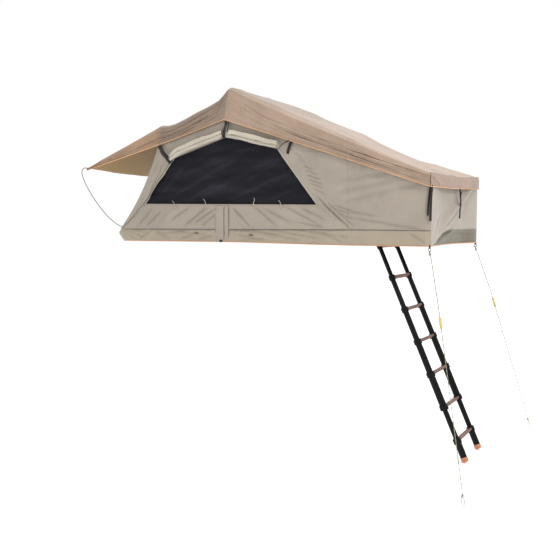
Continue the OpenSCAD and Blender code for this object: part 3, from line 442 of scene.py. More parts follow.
def edgeLine(pointAt, steps, b, lift=(0, 0, 0)):
    return [pointAt(i / steps, b) + Vector(lift) for i in range(steps + 1)]


def smoothPath(points, steps=6):
    # points on a smooth line through the given ones
    out = []
    last = len(points) - 1
    for i in range(last):
        p0, p1 = Vector(points[max(i - 1, 0)]), Vector(points[i])
        p2, p3 = Vector(points[i + 1]), Vector(points[min(i + 2, last)])
        for k in range(steps):
            t = k / steps
            out.append(0.5 * (2 * p1 + (p2 - p0) * t + (2 * p0 - 5 * p1 + 4 * p2 - p3) * t ** 2
                              + (3 * p1 - p0 - 3 * p2 + p3) * t ** 3))
    out.append(Vector(points[last]))
    return out


# how each soft part would fold away with the floor: axis, anchor and the share of thickness it keeps; cloth() reads
# these but folds nothing

vestibuleTilt = math.radians(26.05)
flatFold = ((0, 0, 1), (hingeX, 0, 0.055), 0.085)
foldWays = {
    "base": flatFold,
    "fold_out": flatFold,
    "vestibule": ((-math.sin(vestibuleTilt), 0, math.cos(vestibuleTilt)), (1.78, 0, 0.138), 0.07),
    "hoop_left": ((0.915, 0, 0.404), (-0.12, 0, 1.0), 0.06),
}


def standsFor(node, side):
    # where a node has a near and a far piece, the near one replaces it
    return node if side < 0 else None


def cloth(obj, size, body, node, withPieces=()):
    axis, anchor, keepShare = foldWays[body]
    for one in (obj, *withPieces):
        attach(one, body)
        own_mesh(one)
        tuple(axis)
        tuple(anchor)
    if node:
        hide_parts(node)
    area = obj["clothArea"]
    width, length = size
    share = area / (width * length)
    if share > 1:
        width, length = width * share ** 0.5 * 1.001, length * share ** 0.5 * 1.001
    min(area, width * length)
    list(withPieces)
    print("cloth", obj.name, "flat %.3f x %.3f m, area %.3f" % (width, length, area))


# guy ropes with their knots, grips and hooks: points (x, y, z) on the near side

ropeSet = {
    "diameter": 0.006, "knotRadius": 0.0102, "keep": 0.01,
    "points": [
        (2.511, -0.711, -0.138), (2.509, -0.716, -0.124), (2.507, -0.713, -0.113), (2.507, -0.705, -0.1104),
        (2.507, -0.697, -0.113), (2.508, -0.694, -0.124), (2.511, -0.703, -0.138), (2.53, -0.724, -0.19),
        (2.58, -0.784, -0.37), (2.63, -0.843, -0.55), (2.68, -0.903, -0.76), (2.74, -0.974, -1.01),
        (2.8, -1.045, -1.262), (2.86, -1.116, -1.514), (2.92, -1.186, -1.766), (2.936, -1.206, -1.842),
        (2.95, -1.212, -1.872), (2.958, -1.224, -1.896), (2.95, -1.238, -1.906), (2.938, -1.242, -1.892),
        (2.934, -1.23, -1.866), (2.936, -1.212, -1.846)],
    "knots": [(2.511, -0.707, -0.14), (2.936, -1.209, -1.845)],
}


def ropePoint(p, side):
    return Vector((p[0], -side * p[1], p[2]))


def packRope(obj, body, side):
    # works out where the rope crosses the plane where the vestibule packs flat, and sets the piece on its body;
    # nothing folds it
    top, foot = (ropePoint(p, side) for p in ropeSet["knots"])
    way = (foot - top).normalized()
    normal, flat = (Vector(v) for v in foldWays["vestibule"][:2])
    anchor = top - way * ((top - flat).dot(normal) / way.dot(normal))
    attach(obj, body)
    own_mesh(obj)


def ropeKnot(name, at):
    bm = bmesh.new()
    bmesh.ops.create_uvsphere(bm, u_segments=20, v_segments=12, radius=ropeSet["knotRadius"])
    for v in bm.verts:
        v.co *= 1 + 0.16 * math.sin(math.atan2(v.co.y, v.co.x) * 3 + v.co.z * 400)
    bmesh.ops.translate(bm, verts=bm.verts, vec=at)
    return keep(name, bm, [guyRope])


def copyOf(name, node):
    obj = keep(name, bmesh.new(), [], False)
    obj.data = bpy.data.objects[node].data.copy()
    return obj


for side, word in bothSides:
    line = [ropePoint(p, side) for p in ropeSet["points"]]
    length = pathLength(line)
    rope = tubeAlong("guyRope" + word, line, ropeSet["diameter"] / 2, [guyRope])
    knots = [ropeKnot("guyKnot%s%d" % (word, i), ropePoint(p, side)) for i, p in enumerate(ropeSet["knots"])]
    for one in [rope] + knots:
        packRope(one, "vestibule", side)
    node = "tensioner_" + word.lower()
    grip = copyOf("ropeGrip" + word, node)
    packRope(grip, "tensioner_a" if side < 0 else "tensioner_b", side)
    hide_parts(node)
    # the hooks are one solid part; each side keeps its own
    hook = copyOf("guyHook" + word, "guy_hooks")
    bm = bmesh.new()
    bm.from_mesh(hook.data)
    bmesh.ops.delete(bm, geom=[v for v in bm.verts if v.co.y * side < 0], context="VERTS")
    bm.to_mesh(hook.data)
    bm.free()
    packRope(hook, "vestibule", side)
    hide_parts("guy_rope_" + word.lower())
    if side < 0:
        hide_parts("guy_knots")
        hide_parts("guy_hooks")
    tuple(line[0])
    print("rope", word, "%.3f m" % length)
print("guy ropes tied")


# the fly: heights and widths along the tent, then the section across it

flySet = {
    "top": [(awningTip, 0.591), (leftHoop, 0.972), (0.0, 1.281), (rightHoop, 0.9488), (tentEnd, 0.447)],
    "low": [(awningTip, 0.576), (0.0, 0.9755), (tentEnd, 0.343)],
    "hip": [(awningTip, 0.818), (leftHoop, 0.722), (-0.3, 0.675), (0.0, 0.628), (tentEnd, 0.732)],
    "lowY": [(awningTip, 0.82), (leftHoop, 0.732), (-0.3, 0.722), (0.0, 0.725), (tentEnd, 0.742)],
    "round": [(awningTip, 0.006), (leftHoop, 0.05), (0.0, 0.05), (0.38, 0.1), (rightHoop, 0.1), (1.3, 0.06),
              (tentEnd, 0.02)],
    "sag": [(awningTip, 0.03), (leftHoop, 0.0), (-0.3563, 0.046), (0.0, 0.0), (0.3792, 0.012), (rightHoop, 0.0),
            (tentEnd, 0.014)],
    "edgeSag": [(awningTip, 0.0), (-1.1, 0.008), (leftHoop, 0.008), (-0.64, 0.045), (-0.57, 0.064),
                (-0.45, 0.072), (-0.33, 0.07), (-0.21, 0.074), (-0.1, 0.066), (-0.04, 0.034), (0.0, 0.0),
                (0.3792, 0.006), (rightHoop, 0.0), (1.2, 0.008), (tentEnd, 0.0)],
    "farSag": [(0.8, 0.0), (0.95, 0.018), (1.16, 0.028), (1.365, 0.038), (1.465, 0.03), (1.66, 0.018),
               (tentEnd, 0.0)],
    # shares of the way over at which the section's points lie
    "knots": [0.0, 0.13, 0.26, 0.30, 0.34, 0.42, 0.5],
    "thick": 0.0016, "piping": 0.0038, "drop": -0.002,
    # folds on the near and far sides: from (u, share of the way over) to the same, width, height
    "folds": [
        (-1.45, 0.03, -0.1, 0.09, 0.012, -0.008), (-1.2, 0.1, -0.12, 0.15, 0.012, -0.008),
        (-0.75, 0.2, -0.06, 0.18, 0.022, 0.01), (-0.62, 0.25, -0.03, 0.27, 0.016, -0.01),
        (-0.45, 0.05, -0.02, 0.12, 0.014, 0.008), (-0.3, 0.15, -0.01, 0.24, 0.016, -0.012),
        (0.1, 0.22, 0.9, 0.2, 0.012, 0.007), (0.3, 0.25, 1.1, 0.24, 0.01, -0.006),
        (0.15, 0.1, 0.5, 0.13, 0.008, -0.004), (0.55, 0.05, 1.3, 0.07, 0.014, 0.008),
        (0.62, 0.145, 1.6, 0.11, 0.011, -0.012), (0.8, 0.2, 1.75, 0.19, 0.012, 0.009),
        (1.2, 0.22, 1.88, 0.24, 0.01, -0.008), (1.2, 0.06, 1.88, 0.08, 0.01, -0.006)],
}


def foldLines(u, z, lines):
    # soft grooves and ridges along lines, fading at both ends
    out = 0.0
    for u0, z0, u1, z1, wide, high in lines:
        du, dz = u1 - u0, z1 - z0
        span = du * du + dz * dz
        t = ((u - u0) * du + (z - z0) * dz) / span
        if -0.15 < t < 1.15:
            off = abs((u - u0) * dz - (z - z0) * du) / span ** 0.5
            if off < 3 * wide:
                out += high * ease((t + 0.15) / 0.35) * ease((1.15 - t) / 0.35) * math.exp(-(off / wide) ** 2)
    return out


def grooveShade(u, z, lines):
    # grooves hold a shadow along their floors, the narrow ones most
    floors = [(u0, z0, u1, z1, wide * 0.6, high * (1 if wide < 0.025 else 0.4))
              for u0, z0, u1, z1, wide, high in lines if high < 0]
    return min(0.5, -foldLines(u, z, floors) / 0.017)


def shadeFrom(lines, gain=1.0):
    return lambda a, b, p: gain * grooveShade(p.x - hingeX, p.z - floorZ, lines)


def endTwist(u, y, share=1.0):
    # the far corner of the end stands a little higher than the near one, and the far side is slack before it
    slack = along(u, flySet["farSag"]) * ease((y + 0.2) / 0.6) * share
    return (0.010 + 0.0195 * y / 0.74) * ease((u - 0.9) / 1.0) - slack


def flySection(u):
    # half a section from the lower edge to the middle, with the ridge softened over 60 mm
    low, hip, lowY, rnd, sag = (along(u, flySet[key]) for key in ("low", "hip", "lowY", "round", "sag"))
    top = sum(along(u + 0.015 * k, flySet["top"]) for k in range(-2, 3)) / 5 - along(u, flySet["edgeSag"])
    shoulderY, shoulderZ = hip + 0.6 * rnd, max(top - 1.2 * rnd, low + 0.001)
    return [(lowY, low), (mix(lowY, shoulderY, 0.5) + 0.004, mix(low, shoulderZ, 0.5)), (shoulderY, shoulderZ),
            (hip + 0.35 * rnd, top - 0.35 * rnd), (hip - 0.4 * rnd, top), (hip * 0.5, top - 0.8 * sag),
            (0.0, top - sag)]


def onSection(points, knots, s):
    # a point on a half section or its mirror: its share of the way to the middle, y and z
    side, t = (-1, s) if s <= 0.5 else (1, 1 - s)
    k = 0
    while k < len(knots) - 2 and t > knots[k + 1]:
        k += 1
    f = (t - knots[k]) / (knots[k + 1] - knots[k])
    return t, side * mix(points[k][0], points[k + 1][0], f), mix(points[k][1], points[k + 1][1], f)


def flyBase(u, s):
    t, y, z = onSection(flySection(u), flySet["knots"], s)
    return place(u, y, z + endTwist(u, y, ease(t / 0.2)))


def flyFold(u, s):
    # long folds down the slope on the sides, softer ones on the top
    t = min(s, 1 - s)
    sideWay = 1.0 if s < 0.5 else 2.0
    onSide = 1 - ease((t - 0.22) / 0.12)
    rise = t / 0.26
    folds = crease(u * 1.3 + 3.1 * sideWay, rise * 3.4 + u * 0.5, 1.7 * sideWay, 4.0) * 0.008
    folds += crease(u * 2.6 + 9.0, rise * 6.5 - u * 0.8, 5.3 * sideWay, 3.0) * (0.006 if u < 0 else 0.003)
    folds += grain(u * 4.0, rise * 2.0, 8.0 * sideWay) * 0.004
    folds += foldLines(u, t, flySet["folds"])
    folds = max(-0.012, folds - 0.008 * bumpAt(u, -0.14, 0.10) * bumpAt(t, 0.17, 0.08))
    tops = crease(u * 1.1, s * 5.0, 2.2, 4.0) * 0.006 + grain(u * 2.3, s * 6.0, 4.4) * 0.006
    hold = ease(t / 0.02) * 0.85 + 0.15
    seam = ease(abs(u) / 0.03) * 0.8 + 0.2
    return (folds * onSide + tops * (1 - onSide)) * hold * seam


def flyAt(u, s):
    e = 0.004
    p = flyBase(u, s)
    du = flyBase(u + e, s) - flyBase(u - e, s)
    ds = flyBase(u, min(1, s + e)) - flyBase(u, max(0, s - e))
    n = du.cross(ds)
    if n.length > 0:
        n.normalize()
    return p + n * flyFold(u, s)


def flyPaintedShade(u, t):
    # painted shade on the slope left of the ridge, darker along the top between ridge and right hoop, and painted
    # shadow in the fold grooves
    left = (0.5 + 0.18 * ease((-0.28 - u) / 0.2)) * ease((u + 0.77) / 0.1) if u <= 0 else 0.0
    darkerCrest = 0.4 * (1 - ease((u - 0.45) / 0.35)) * ease((t - 0.29) / 0.05) if u > 0 else 0.0
    return min(0.8, left + darkerCrest + 0.8 * grooveShade(u, t, flySet["folds"]))


def flyPanel(name, u0, u1, cells, outside):
    def pointAt(a, b):
        return flyAt(mix(u0, u1, a), b)

    def shadeAt(a, b, p):
        return flyPaintedShade(mix(u0 + 0.0001, u1 - 0.0001, a), min(b, 1 - b))
    panel = clothGrid(name, cells, (u1 - u0, 2.0), pointAt, [outside, flyLining], flySet["thick"], shadeAt=shadeAt)
    edges = [tubeAlong(name + "Piping" + word, edgeLine(pointAt, cells[0], s, (0, 0, flySet["drop"])),
                       flySet["piping"], [pipingCloth]) for s, word in ((0.0, "Near"), (1.0, "Far"))]
    return panel, edges


awningSeam = -0.7266
flyPanels = [
    ("flyAwning", awningTip, awningSeam, (70, 150), "hoop_left", "fly_awning"),
    ("flyLeft", awningSeam, 0.0, (80, 170), "base", "fly_left"),
    ("flyRight", 0.0, floorLength, (150, 170), "fold_out", "fly_right"),
    ("flyVestibule", floorLength, tentEnd, (90, 170), "vestibule", "fly_vestibule"),
]
for name, u0, u1, cells, body, node in flyPanels:
    # the awning takes the painted-light copy of the fly cloth
    panel, edges = flyPanel(name, u0, u1, cells, flyAwningLit if name == "flyAwning" else flyCloth)
    if name == "flyAwning":
        tip = edgeLine(lambda a, b: flyAt(awningTip, a), 60, 0.0, (flySet["drop"], 0, flySet["drop"]))
        edges.append(tubeAlong("flyAwningTipPiping", tip, flySet["piping"], [pipingCloth]))
    cloth(panel, (u1 - u0 + 0.1, 2.2), body, node,
          edges)
print("fly hung")


# the valance across the vestibule's end

valanceSet = {"u": 1.9185, "half": 0.742, "folds": 0.004, "piping": 0.0036,
              "creases": [(-0.72, 0.1, -0.5, 0.8, 0.05, 0.006), (0.3, 0.9, 0.72, 0.2, 0.05, 0.006)]}


def flyShareAt(u, y):
    lowS, highS = 0.0, 1.0
    for _ in range(24):
        mid = (lowS + highS) / 2
        if flyBase(u, mid).y < y:
            lowS = mid
        else:
            highS = mid
    return lowS


def valanceAt(a, b):
    y = mix(-valanceSet["half"], valanceSet["half"], a)
    topZ = flyAt(tentEnd, flyShareAt(tentEnd, y)).z - floorZ + 0.001
    lowZ = along(tentEnd, flySet["low"]) + endTwist(tentEnd, y) - 0.006 * math.sin(math.pi * a) ** 2
    wave = (0.5 + 0.5 * grain(y * 4.0, b * 1.5, 6.1)) * valanceSet["folds"] + 0.003 * grain(y * 11.0, b * 2.0, 1.0)
    wave += foldLines(y, b, valanceSet["creases"])
    return place(valanceSet["u"] + max(0, wave) * ease(b * 3), y, mix(topZ, min(topZ, lowZ), b))


valance = clothGrid("valance", (190, 20), (1.48, 0.104), valanceAt, [valanceShadeCloth, flyLining], flip=True)
valanceEdge = tubeAlong("valancePiping", edgeLine(valanceAt, 100, 1.0, (0, 0, -0.003)), valanceSet["piping"],
                        [pipingCloth])
cloth(valance, (1.484, 0.108), "vestibule", None, [valanceEdge])
print("valance hung")


# side walls round the windows; folds from (u, z) to (u, z), width, height

wallSet = {
    "y": 0.7016, "bow": 0.042, "flare": 0.038, "base": 0.009, "foot": -0.012, "gain": 1.5, "thick": 0.0014,
    "leftTop": (-0.567, 0.658), "leftFoot": -0.926, "apex": (0.02, 0.822),
    "rightTop": (0.546, 0.686), "rightFoot": 0.935,
    "sill": (0.214, 0.017), "seam": 0.0045, "seamLift": 0.0012, "stripStep": 0.012,
    # heights along the tent near the fly, and how far below them the wall ends
    "fly": [(awningTip, 0.5824), (leftHoop, 0.9524), (0.0, 1.2755), (rightHoop, 0.9488), (tentEnd, 0.447)],
    "below": [(leftHoop, 0.118), (0.0, 0.25), (tentEnd, 0.072)],
    "folds": [
        (-0.61, 0.078, -0.41, 0.194, 0.018, -0.009), (-0.45, 0.035, -0.22, 0.187, 0.018, -0.01),
        (-0.35, 0.049, -0.12, 0.177, 0.016, -0.009), (-0.26, 0.03, -0.11, 0.131, 0.014, -0.007),
        (-0.87, 0.069, -0.75, 0.193, 0.016, 0.004), (-1.16, 0.04, -0.98, 0.17, 0.012, -0.005),
        (0.08, 0.175, 0.25, 0.022, 0.014, -0.006), (0.07, 0.184, 0.18, 0.094, 0.012, -0.004),
        (0.76, 0.177, 0.99, 0.078, 0.016, -0.006), (0.38, 0.181, 0.66, 0.057, 0.02, -0.005),
        (0.92, 0.272, 1.22, 0.003, 0.012, -0.01), (0.96, 0.242, 1.18, 0.065, 0.01, 0.008),
        (1.02, 0.216, 1.25, 0.023, 0.01, -0.007), (1.08, 0.194, 1.24, 0.147, 0.01, -0.007),
        (1.1, 0.165, 1.22, 0.118, 0.01, -0.006), (1.13, 0.131, 1.24, 0.081, 0.01, -0.006),
        (0.93, 0.217, 1.11, 0.081, 0.01, 0.006), (0.81, 0.498, 0.92, 0.453, 0.01, -0.006),
        (0.82, 0.46, 0.95, 0.41, 0.01, -0.007), (0.84, 0.417, 0.97, 0.372, 0.01, -0.007),
        (0.85, 0.387, 0.97, 0.342, 0.01, -0.006), (0.78, 0.537, 0.88, 0.496, 0.01, -0.005),
        (0.73, 0.603, 0.81, 0.557, 0.01, -0.005), (0.7, 0.647, 0.78, 0.601, 0.01, -0.005),
        (0.88, 0.344, 1.0, 0.283, 0.01, -0.005), (1.11, 0.397, 1.54, 0.449, 0.03, -0.008),
        (1.11, 0.298, 1.58, 0.384, 0.03, -0.009), (1.15, 0.218, 1.8, 0.354, 0.03, -0.009),
        (1.11, 0.156, 1.45, 0.105, 0.018, -0.006), (1.25, 0.089, 1.84, -0.008, 0.018, -0.006),
        (1.74, -0.036, 1.87, -0.112, 0.014, -0.006), (-1.02, 0.02, -0.84, 0.19, 0.016, -0.007),
        (-0.92, 0.015, -0.74, 0.16, 0.014, -0.007), (-0.72, 0.05, -0.58, 0.185, 0.022, 0.007),
        (-0.55, 0.03, -0.4, 0.13, 0.02, 0.007), (0.3, 0.19, 0.52, 0.03, 0.018, -0.007),
        (0.46, 0.19, 0.78, 0.03, 0.022, 0.007), (0.6, 0.195, 0.92, 0.04, 0.016, -0.007),
        (0.12, 0.12, 0.22, 0.01, 0.02, 0.006), (0.7, 0.06, 0.98, 0.01, 0.014, -0.006),
        (-0.7, 0.6, -0.8, 0.44, 0.012, -0.007), (-0.66, 0.53, -0.77, 0.37, 0.012, -0.007),
        (-0.8, 0.45, -0.9, 0.27, 0.013, -0.008), (-0.84, 0.34, -0.95, 0.2, 0.012, -0.007),
        (-0.75, 0.64, -0.82, 0.53, 0.01, -0.006), (-0.72, 0.47, -0.86, 0.3, 0.014, 0.007),
        (-0.94, 0.3, -1.05, 0.14, 0.012, -0.006)],
}


def eaveZ(u):
    return along(u, wallSet["fly"]) - along(u, wallSet["below"])


def leftEdge(t):
    u = mix(-floorLength, leftHoop - 0.03, t) + wallSet["bow"] * math.sin(math.pi * t)
    return (u - wallSet["flare"] * (1 - t) ** 5, t * eaveZ(leftHoop))


def sillZ(u):
    atHinge, slope = wallSet["sill"]
    return atHinge - slope * u


def hemZ(u):
    # the lower edge of the skirt, which drops a little towards the end
    return -0.12 - 0.016 * ease(u / 1.3)


def onLine(points, t):
    spans = [math.dist(p, q) for p, q in zip(points, points[1:])]
    way = t * sum(spans)
    for (p, q), span in zip(zip(points, points[1:]), spans):
        if way <= span or q is points[-1]:
            f = min(1.0, way / span)
            return (mix(p[0], q[0], f), mix(p[1], q[1], f))
        way -= span


def sideOut(u, z):
    # how far the side cloth stands off its flat plane, from the left edge to the end corner
    edgeT = max(0.0, min(1.0, z / eaveZ(leftHoop)))
    hold = ease((u - leftEdge(edgeT)[0]) / 0.06) * ease((tentEnd - u) / 0.05)
    underRoll = ease((u + 0.66) / 0.06) * ease((0.63 - u) / 0.06) * ease((z - 0.6) / 0.06)
    broad = grain(u * 2.1, z * 2.6, 5.0) * 0.004 + crease(u * 1.9 + z * 1.2, z * 2.4, 9.2, 5.0) * 0.004
    broad += crease(u * 5.0 - z * 2.0, z * 7.0 + u, 3.1, 4.0) * 0.002
    out = wallSet["base"] + broad + foldLines(u, z, wallSet["folds"]) * wallSet["gain"]
    return max(-0.001, mix(out, 0.002, underRoll)) * hold


def ringParts(kind):
    # the cloth round a window in three parts, each between a line on the window and one on the wall's edge
    foot = wallSet["foot"]
    leftTop, apex, rightTop = wallSet["leftTop"], wallSet["apex"], wallSet["rightTop"]
    middle = (0, mix(leftTop[1], apex[1], -leftTop[0] / (apex[0] - leftTop[0])))
    if kind == "fixed":
        left = [leftEdge(i / 24) for i in range(25)]
        corner = (left[0][0], foot)
        leftLow = (wallSet["leftFoot"], sillZ(wallSet["leftFoot"]))
        return [
            ([(0, sillZ(0)), leftLow], [(0, foot), corner]),
            ([leftLow, leftTop], [corner] + left),
            ([leftTop, middle], [left[-1], (leftHoop, eaveZ(leftHoop)), (0, eaveZ(0))]),
        ]
    rightLow = (wallSet["rightFoot"], sillZ(wallSet["rightFoot"]))
    corner, eave = (floorLength, foot), (floorLength, eaveZ(floorLength))
    return [
        ([(0, sillZ(0)), rightLow], [(0, foot), corner]),
        ([rightLow, rightTop], [corner, eave]),
        ([rightTop, apex, middle], [eave, (rightHoop, eaveZ(rightHoop)), (0, eaveZ(0))]),
    ]


def joinPieces(name, pieces):
    # several grids become one cloth with welded seams
    bm = bmesh.new()
    for piece in pieces:
        bm.from_mesh(piece.data)
    area = sum(p["clothArea"] for p in pieces)
    bmesh.ops.remove_doubles(bm, verts=bm.verts, dist=0.0004)
    mats = list(pieces[0].data.materials)
    for piece in pieces:
        bpy.data.objects.remove(piece)
    obj = keep(name, bm, mats)
    thicken(obj, area, wallSet["thick"])
    return obj


def sideWall(name, kind, side):
    parts = []
    for i, (inner, outer) in enumerate(ringParts(kind)):
        longest = max(flatLength(inner), flatLength(outer))

        def pointAt(a, b, inner=inner, outer=outer):
            p = onLine(inner, a)
            q = onLine(outer, a)
            u, z = mix(p[0], q[0], b), mix(p[1], q[1], b)
            return place(u, side * (wallSet["y"] + sideOut(u, z)), z)
        cells = (max(8, int(longest / 0.007)), 60 if i == 1 and kind == "fold" else 34)
        parts.append(clothGrid("%sPart%d" % (name, i), cells, (longest, 0.22), pointAt, [wallCanvas], wallSet["thick"],
                               flip=(kind == "fold") == (side < 0), shadeAt=shadeFrom(wallSet["folds"])))
    return joinPieces(name, parts)


netSet = {
    "cells": (120, 56), "thick": 0.0006, "overlap": 0.012,
    "folds": [
        (-0.6, 0.3, 0.1, 0.62, 0.02, 0.006), (-0.3, 0.3, 0.5, 0.6, 0.03, 0.006),
        (0.1, 0.28, 0.7, 0.5, 0.02, 0.006), (-0.5, 0.5, 0.4, 0.74, 0.022, 0.005),
        (-0.75, 0.3, -0.45, 0.6, 0.018, 0.005), (0.2, 0.42, 0.55, 0.58, 0.012, 0.005),
        (-0.2, 0.62, 0.25, 0.72, 0.014, 0.005), (-0.4, 0.27, -0.1, 0.42, 0.012, 0.005),
        (0.45, 0.25, 0.8, 0.38, 0.014, 0.005)],
}


def netPatch(name, kind, side):
    parts = ringParts(kind)
    edge = parts[1][0] + parts[2][0][1:]
    foot = edge[0][0] + (-0.008 if kind == "fixed" else 0.008)

    def topAt(u):
        for p, q in zip(edge, edge[1:]):
            if min(p[0], q[0]) <= u <= max(p[0], q[0]) and p[0] != q[0]:
                return mix(p[1], q[1], (u - p[0]) / (q[0] - p[0])) + netSet["overlap"]
        return (edge[0] if abs(u) > 0.5 else edge[-1])[1] + netSet["overlap"]

    def pointAt(a, b):
        u = mix(0, foot, a)
        z = mix(sillZ(u) - 0.01, topAt(u), b)
        sag = 0.004 + 0.004 * grain(u * 3, z * 4, 2.0) - foldLines(u, z, netSet["folds"])
        rim = ease(min(b, 1 - b) / 0.08)
        return place(u, side * (wallSet["y"] - 0.003 - max(-0.002, sag) * rim), z)

    # painted highlight on the ridges of the net's folds
    def shadeAt(a, b, p):
        return min(1.0, foldLines(p.x - hingeX, p.z - floorZ, netSet["folds"]) / 0.007)
    return clothGrid(name, netSet["cells"], (abs(foot), 0.6), pointAt, [windowNet], netSet["thick"],
                     flip=(kind == "fixed") == (side < 0), shadeAt=shadeAt)


def wallStrip(name, line, side, width, mat, lift):
    # a narrow band laid along a line on the side cloth: a hem or a seam
    def pointAt(a, b):
        u, z = onLine(line, a)
        u2, z2 = onLine(line, min(1, a + 0.002))
        u1, z1 = onLine(line, max(0, a - 0.002))
        d = Vector((u2 - u1, 0, z2 - z1)).normalized()
        n = Vector((-d.z, 0, d.x))
        arch = lift * (1 - (2 * b - 1) ** 4)
        atU, atZ = u + n.x * (b - 0.5) * width, z + n.z * (b - 0.5) * width
        return place(atU, side * (wallSet["y"] + 0.0008 + sideOut(atU, atZ) + arch), atZ)
    long = flatLength(line)
    cells = (max(10, int(long / wallSet["stripStep"])), 4)
    return clothGrid(name, cells, (long, width), pointAt, [mat], 0.0012, flip=(side < 0))


def wallSeam(name, line, side):
    return wallStrip(name, line, side, wallSet["seam"], seamThread, wallSet["seamLift"])


toggleSet = {"fixed": [(-0.594, 0.257, -0.537, 0.178), (-0.24, 0.27, -0.185, 0.19)],
             "fold": [(0.304, 0.27, 0.306, 0.2), (0.551, 0.245, 0.6, 0.176)]}


def toggleCord(name, ends, side):
    # a short tie with a toggle, hanging from the sill
    u0, z0, u1, z1 = ends
    line = smoothPath([place(mix(u0, u1, t) + 0.008 * math.sin(t * 6),
                             side * (wallSet["y"] + 0.010 + 0.008 * math.sin(math.pi * t)), mix(z0, z1, t))
                       for t in (0, 0.3, 0.6, 1.0)], 5)
    fat = [2.0 if i > len(line) - 6 else 1.0 for i in range(len(line))]
    return tubeAlong(name, line, 0.0028, [hemCanvas], radii=fat)


seamRuns = {
    "fixed": [[(-0.590, 0.650), (-0.944, 0.230), (-floorLength, 0.004)],
              [(-1.18, -0.008), (-0.6, -0.008), (-0.11, -0.008)]],
    "fold": [[(0.05, -0.008), (0.6, -0.008), (1.19, -0.008)]],
}
for side, word in bothSides:
    for kind, body in bothHalves:
        tag = kind.capitalize() + word
        wall = sideWall("sideWall" + tag, kind, side)
        sill, jamb = (part[0] for part in ringParts(kind)[:2])
        extra = [wallStrip("sillHem" + tag, sill, side, 0.009, wallCanvas, 0.0015),
                 wallStrip("windowHem" + tag, jamb, side, 0.010 if kind == "fixed" else 0.018, hemCanvas, 0.003)]
        extra += [wallSeam("wallSeam%s%d" % (tag, i), run, side) for i, run in enumerate(seamRuns[kind])]
        extra += [toggleCord("sillToggle%s%d" % (tag, i), ends, side) for i, ends in enumerate(toggleSet[kind])]
        cloth(wall, (1.5, 0.9), body, standsFor("side_walls_" + kind, side),
              extra)
        net = netPatch("windowNet" + tag, kind, side)
        cloth(net, (1.1, 0.65), body, standsFor("window_mesh_" + kind, side))
print("side walls and windows hung")


# the pleat where the two halves meet, with a black tab at its foot

pleatSet = {
    "top": 0.205, "low": -0.119, "tab": (-0.056, -0.026), "tabTop": -0.103, "tabLow": -0.124,
    "profile": [
        (-0.108, 0.004), (-0.098, 0.013), (-0.03, 0.016), (-0.014, 0.016), (-0.0105, 0.004), (-0.0065, 0.004),
        (-0.003, 0.017), (0.03, 0.019), (0.036, 0.017), (0.041, 0.002)],
}


def pleatShade(a, b, p):
    u = p.x - hingeX
    return 1.2 * (bumpAt(u, -0.0085, 0.005) + bumpAt(u, 0.040, 0.005) + 0.4 * bumpAt(u, -0.104, 0.006))


for side, word in bothSides:
    def pleatAt(a, b, side=side):
        us = [p[0] for p in pleatSet["profile"]]
        k = a * (len(us) - 1)
        i = min(int(k), len(us) - 2)
        u = mix(us[i], us[i + 1], k - i)
        z = mix(pleatSet["top"], pleatSet["low"], b)
        out = along(u, pleatSet["profile"]) + 0.003 * grain(u * 20, z * 9, 4.0)
        y = wallSet["y"] + 0.004 + out * (0.5 + 0.5 * ease(b / 0.12))
        return place(u + 0.004 * grain(z * 6, 2.0, u), side * y, z)

    def tabAt(a, b, side=side):
        y = wallSet["y"] + 0.0235 + 0.002 * b
        return place(mix(*pleatSet["tab"], a), side * y, mix(pleatSet["tabTop"], pleatSet["tabLow"], b))
    pleat = clothGrid("hingePleat" + word, (54, 48), (0.15, 0.324), pleatAt, [wallCanvas], wallSet["thick"],
                      flip=side > 0, shadeAt=pleatShade)
    tab = clothGrid("pleatTab" + word, (6, 4), (0.03, 0.02), tabAt, [webbing], 0.002, flip=side > 0)
    cloth(pleat, (0.24, 0.33), "base", None, [tab])
print("pleats folded")


# rolled flaps over the windows, and their straps

rollSet = {"radius": 0.036, "y": 0.7414, "rise": 0.034, "thick": 0.0018}


def windowTop(u):
    return along(u, [wallSet["leftTop"], wallSet["apex"], wallSet["rightTop"]])


def rollLine(kind):
    steps = [i / 6 for i in range(7)]
    if kind == "fixed":
        corner = wallSet["leftTop"][0]
        spots = [(mix(-0.6, -0.004, t), 0.008 * math.sin(math.pi * t)) for t in steps]
        return [(u, windowTop(max(u, corner)) + rollSet["rise"] - max(0, corner - u) * 1.1 + bow) for u, bow in spots]
    spots = [(mix(0.004, 0.553, t), 0.004 * math.sin(math.pi * t)) for t in steps]
    return [(u, windowTop(min(u, 0.534)) + rollSet["rise"] + bow) for u, bow in spots]


